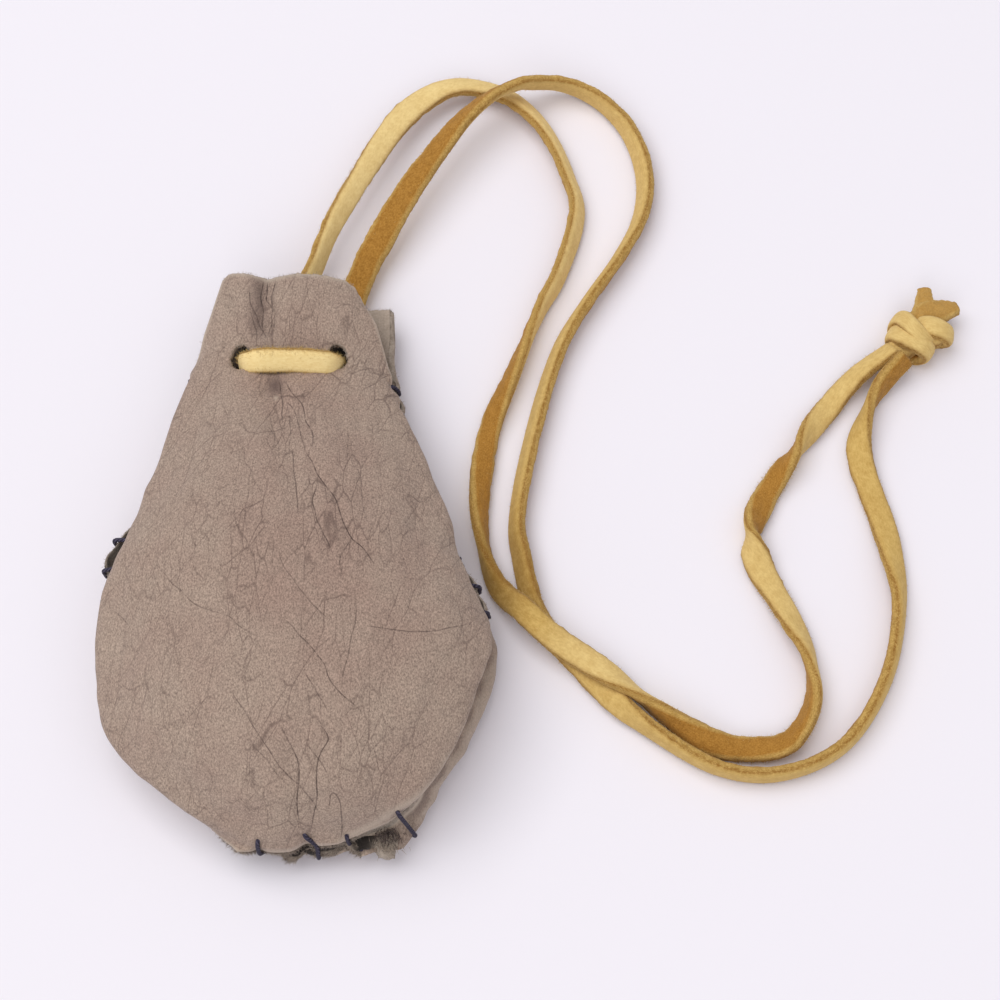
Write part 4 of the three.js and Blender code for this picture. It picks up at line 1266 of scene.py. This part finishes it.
def tube(line, radius, sides, seed):
    tangents = unit(np.gradient(line, axis=0))
    side = unit(np.cross(tangents, np.array([0.31, 0.17, 0.93])))
    other = np.cross(tangents, side)
    angle = np.linspace(0, 2 * math.pi, sides, endpoint=False)
    ring = np.cos(angle)[None, :, None] * side[:, None] + np.sin(angle)[None, :, None] * other[:, None]
    n = len(line)
    points = np.vstack([(line[:, None] + ring * radius).reshape(-1, 3), line[:1], line[-1:]])
    arc = lengthsAlong(line)
    run = np.stack([np.repeat(arc, sides), np.tile(angle * radius, n), np.full(n * sides, seed)], axis=1)
    run = np.vstack([run, [[0, 0, seed], [arc[-1], 0, seed]]])
    return points, tubeFaces(n, sides), {"laceRun": run}


# one whip stitch: down a hole in the front, over the two edges and down a hole in the back
def whipStitch(where, position, slant, frontIn, backIn, out):
    form = stitchForm
    frontHole, frontUp = seamSpot(frontShape, 1, where, position, frontIn)
    frontEdge, _ = seamSpot(frontShape, 1, where, position + slant * 0.6, 0)
    backEdge, _ = seamSpot(backShape, -1, where, position + slant * 0.8, 0)
    backHole, backUp = seamSpot(backShape, -1, where, position + slant, backIn)
    if where == "chin":  # drawn straight from hole to hole
        ends = [frontHole[0], backHole[0]]
        down = frontHole[1] - np.array([frontEdge[1], backEdge[1]])
        share = np.clip(down / (frontHole[1] - backHole[1]), 0, 1)
        frontEdge, backEdge = [np.array([np.interp(s, [0, 1], ends), *edge[1:]])
                               for s, edge in zip(share, (frontEdge, backEdge))]
    beyond, lift = seamWays[where] * out, np.array([0, 0, form["edgeLift"]])
    spread = float(np.dot(backEdge - frontEdge, seamWays[where]))  # how far the back lip stands out there
    over = [backEdge + beyond * 0.7 + np.array([0, 0, min(1.7, spread)])] if spread > 0.8 else []
    route = [
        frontHole - frontUp * form["holeDepth"], frontHole + frontUp * out, frontEdge + beyond + lift, *over,
        backEdge + beyond - lift, backHole + backUp * out, backHole - backUp * form["holeDepth"],
    ]
    line = smoothLine(route, fineStep)
    keepAbove(line, form["radius"] + floorClear)
    return line


# where the leather rolls over the seam the stitches lie deep in it
def addStitches():
    form = stitchForm
    deep = (form["hiddenIn"], form["hiddenIn"], form["hiddenProud"])
    shown = (form["frontIn"], form["backIn"], form["proud"])
    atChin = (form["chinIn"], form["backIn"], form["proud"])
    lines = [whipStitch("chin", x, form["slant"], *atChin) for x in seamShape["chinStitchXs"]]
    for where in ("left", "right"):
        middle, half = form[where + "Shown"]
        for y in seamShape[where + "StitchYs"]:
            lies = shown if abs(y - middle) < half else deep
            lines.append(whipStitch(where, y, form["sideSlant"], *lies))
    start, startUp = topSpot(frontShape, 1, *form["cornerFrom"])
    stop, stopUp = topSpot(backShape, -1, *form["cornerTo"])
    arch = (start + stop) / 2 + (startUp + stopUp) * form["cornerArch"]
    corner = [start - startUp, start + startUp * form["cornerProud"], arch,
              stop + stopUp * form["cornerProud"], stop - stopUp]
    lines.append(smoothLine(corner, fineStep))
    parts = [tube(line, form["radius"], form["sides"], number) for number, line in enumerate(lines)]
    points, faces, marks = joinParts(parts)
    print("stitches", len(parts))
    addPiece("seam_stitches", points, faces, thread, marks=marks)


addStitches()

spikePoints = 4
spikeFaces = ((0, 2, 1), (0, 1, 3), (1, 2, 3), (2, 0, 3))


# thin three-sided spikes, closed at the foot
def spikes(roots, directions, lengths, radius, seed):
    rng = np.random.default_rng(seed)
    n = len(roots)
    directions = unit(directions)
    side = unit(np.cross(directions, rng.normal(size=(n, 3))))
    other = np.cross(directions, side)
    angle = 2 * math.pi * np.arange(3) / 3
    feet = [roots + (side * math.cos(a) + other * math.sin(a)) * radius for a in angle]
    tips = roots + directions * lengths[:, None]
    points = np.stack(feet + [tips], axis=1).reshape(-1, 3)
    keepAbove(points, floorClear / 2)
    start = np.arange(n)[:, None] * spikePoints
    return points, [np.concatenate([start + np.array(f) for f in spikeFaces])]


leatherNap = {
    "perEdgePoint": 5, "longest": 0.7, "radius": 0.035,
    "rootOut": 0.15, "rootSpread": 0.12, "waySpread": 0.55, "lean": 0.2, "lowestRoot": 0.1,
    "chinBelow": -48.5, "chinTimes": 4, "chinLongest": 1.1,
    "puckerAt": (16.0, -49.2, 6.2), "puckerSpread": (0.9, 0.8, 0.6), "puckerWay": (0.15, -1.0, 0.2),
    "puckerHairs": 1000, "puckerRadius": 0.055, "puckerDarkY": -50.2, "puckerDarkBlend": 1.6,
    "pale": 0.9, "flesh": 0.1,
}


# dark goes from nought, a pale hair, to one, a stained hair
def hairMarks(dark, stainAndShade):
    n = len(dark)
    marks = {key: np.zeros(n) for key in ("blush", "lined", "inside")}
    marks["wearAndLight"] = leatherNap["pale"] * (1 - dark)
    marks["flesh"] = np.full(n, leatherNap["flesh"])
    marks["stainAndShade"] = stainAndShade * dark
    marks.update({channel: noCreases(n) for channel in creaseChannels})
    return marks


def addLeatherNap():
    rng = np.random.default_rng(71)
    parts = []
    for rim in (frontRim, backRim):
        chin = rim["outer"][:, 1] < leatherNap["chinBelow"]
        many = np.where(chin, leatherNap["chinTimes"], 1) * leatherNap["perEdgePoint"]
        many = np.repeat(np.arange(len(chin)), many)
        chin = chin[many]
        t = rng.uniform(0.05, 0.95, len(many))[:, None]
        roots = rim["outer"][many] * (1 - t) + rim["inner"][many] * t
        roots = roots + rim["outward"][many] * leatherNap["rootOut"]
        roots = roots + rng.normal(0, leatherNap["rootSpread"], roots.shape)
        ways = rim["outward"][many] + rng.normal(0, leatherNap["waySpread"], roots.shape)
        ways = ways + rim["normal"][many] * leatherNap["lean"]
        longest = np.where(chin, leatherNap["chinLongest"], leatherNap["longest"])
        lengths = longest * rng.uniform(0.25, 1.0, len(many)) ** 1.6
        keepAbove(roots, leatherNap["lowestRoot"])
        points, faces = spikes(roots, ways, lengths, leatherNap["radius"], 72)
        dark = np.repeat(rng.uniform(0, 1, len(many)) ** np.where(chin, 1.2, 3.0), spikePoints)
        parts.append((points, faces, hairMarks(dark, 0.9)))
    # tuft of loose fibres where the seam puckers at the lower right
    n = leatherNap["puckerHairs"]
    roots = np.array(leatherNap["puckerAt"]) + rng.normal(0, 1, (n, 3)) * leatherNap["puckerSpread"]
    ways = np.array(leatherNap["puckerWay"]) + rng.normal(0, 0.4, (n, 3))
    points, faces = spikes(roots, ways, rng.uniform(0.6, 1.5, n), leatherNap["puckerRadius"], 73)
    dark = roots[:, 1] - leatherNap["puckerDarkY"] + rng.normal(0, 0.5, n)
    dark = np.repeat(smooth(dark / leatherNap["puckerDarkBlend"]), spikePoints)
    parts.append((points, faces, hairMarks(dark, 1.0)))
    points, faces, marks = joinParts(parts)
    addPiece("leather_nap", points, faces, nubuck, marks)


# hairs per millimetre and the longest hair
laceNap = {"radius": 0.028, "clean": 0.6, "rootAt": 0.48, "strand": (42, 0.7), "bridge": (110, 1.0)}


def addLaceNap(name, lay, seed, perMillimetre, longest):
    rng = np.random.default_rng(seed)
    across, face, arc = lay["guide"]
    n = int(arc[-1] * perMillimetre)
    at = rng.uniform(0, arc[-1], n)
    k = np.clip(np.searchsorted(arc, at), 0, len(arc) - 1)
    edge = rng.choice([-1.0, 1.0], n)
    height = rng.uniform(-1.0, 1.0, n)
    outAt = (1 - np.abs(height) ** laceForm["squareness"]) ** (1 / laceForm["squareness"])
    deep = laceNap["rootAt"]
    roots = (lay["centres"][k] + across[k] * (edge * outAt * lay["width"][k] * deep)[:, None]
             + face[k] * (height * laceForm["thickness"] * deep)[:, None])
    along = unit(np.gradient(lay["centres"], axis=0))[k]
    ways = across[k] * edge[:, None] + face[k] * (height * 0.8)[:, None]
    ways = ways + along * rng.normal(0, 0.8, n)[:, None]
    lengths = longest * rng.uniform(0.2, 1.0, n) ** 1.8
    points, faces = spikes(roots, ways + rng.normal(0, 0.25, (n, 3)), lengths, laceNap["radius"], seed + 1)
    marks = {
        "suede": np.repeat(rng.uniform(0.2, 0.9, n), spikePoints),
        "cut": np.ones(len(points)), "corner": np.zeros(len(points)),
        "clean": np.full(len(points), laceNap["clean"]),
        "laceRun": np.repeat(np.column_stack([at, height, edge]), spikePoints, axis=0),
    }
    addPiece(name, points, faces, lace, marks)


addLeatherNap()
addLaceNap("thong_left_nap", leftLay, 81, *laceNap["strand"])
addLaceNap("thong_right_nap", rightLay, 83, *laceNap["strand"])
addLaceNap("bridge_nap", bridgeLay, 85, *laceNap["bridge"])


studio = {
    "floor": colour(238, 234, 240), "floorHalf": 3.0,
    "air": (0.97, 0.96, 1.0, 1.0), "airStrength": 0.46,
    "lamps": [("softKey", (-0.8, 0.45, 2.2), 2.2, 36.8), ("frontFill", (-0.4, -1.6, 1.4), 1.2, 9.0),
              ("sideFill", (1.2, -0.2, 2.0), 1.8, 3.4)],
}


def addStudio():
    mesh = bpy.data.meshes.new("floor")
    corners = np.array([(-1, -1, 0), (1, -1, 0), (1, 1, 0), (-1, 1, 0)]) * studio["floorHalf"]
    mesh.from_pydata(corners.tolist(), [], [(0, 1, 2, 3)])
    floor = bpy.data.objects.new("floor", mesh)
    matt = {"Base Color": studio["floor"], "Roughness": 0.9, "Specular IOR Level": 0.1}
    mesh.materials.append(startMaterial("paleFloor", matt)[0])
    scene.collection.objects.link(floor)
    world = bpy.data.worlds.new("studioAir")
    world.use_nodes = True
    air = world.node_tree.nodes["Background"]
    air.inputs["Color"].default_value = studio["air"]
    air.inputs["Strength"].default_value = studio["airStrength"]
    scene.world = world
    for name, place, size, power in studio["lamps"]:
        data = bpy.data.lights.new(name, "AREA")
        data.energy, data.size = power, size
        lamp = bpy.data.objects.new(name, data)
        lamp.location = place
        aim = np.array(cameraView["target"]) * mm - np.array(place)
        tilt = math.atan2(math.hypot(aim[0], aim[1]), -aim[2])
        lamp.rotation_euler = (tilt, 0, math.atan2(aim[0], -aim[1]) + math.pi)
        scene.collection.objects.link(lamp)
    print("studio lit")


addStudio()
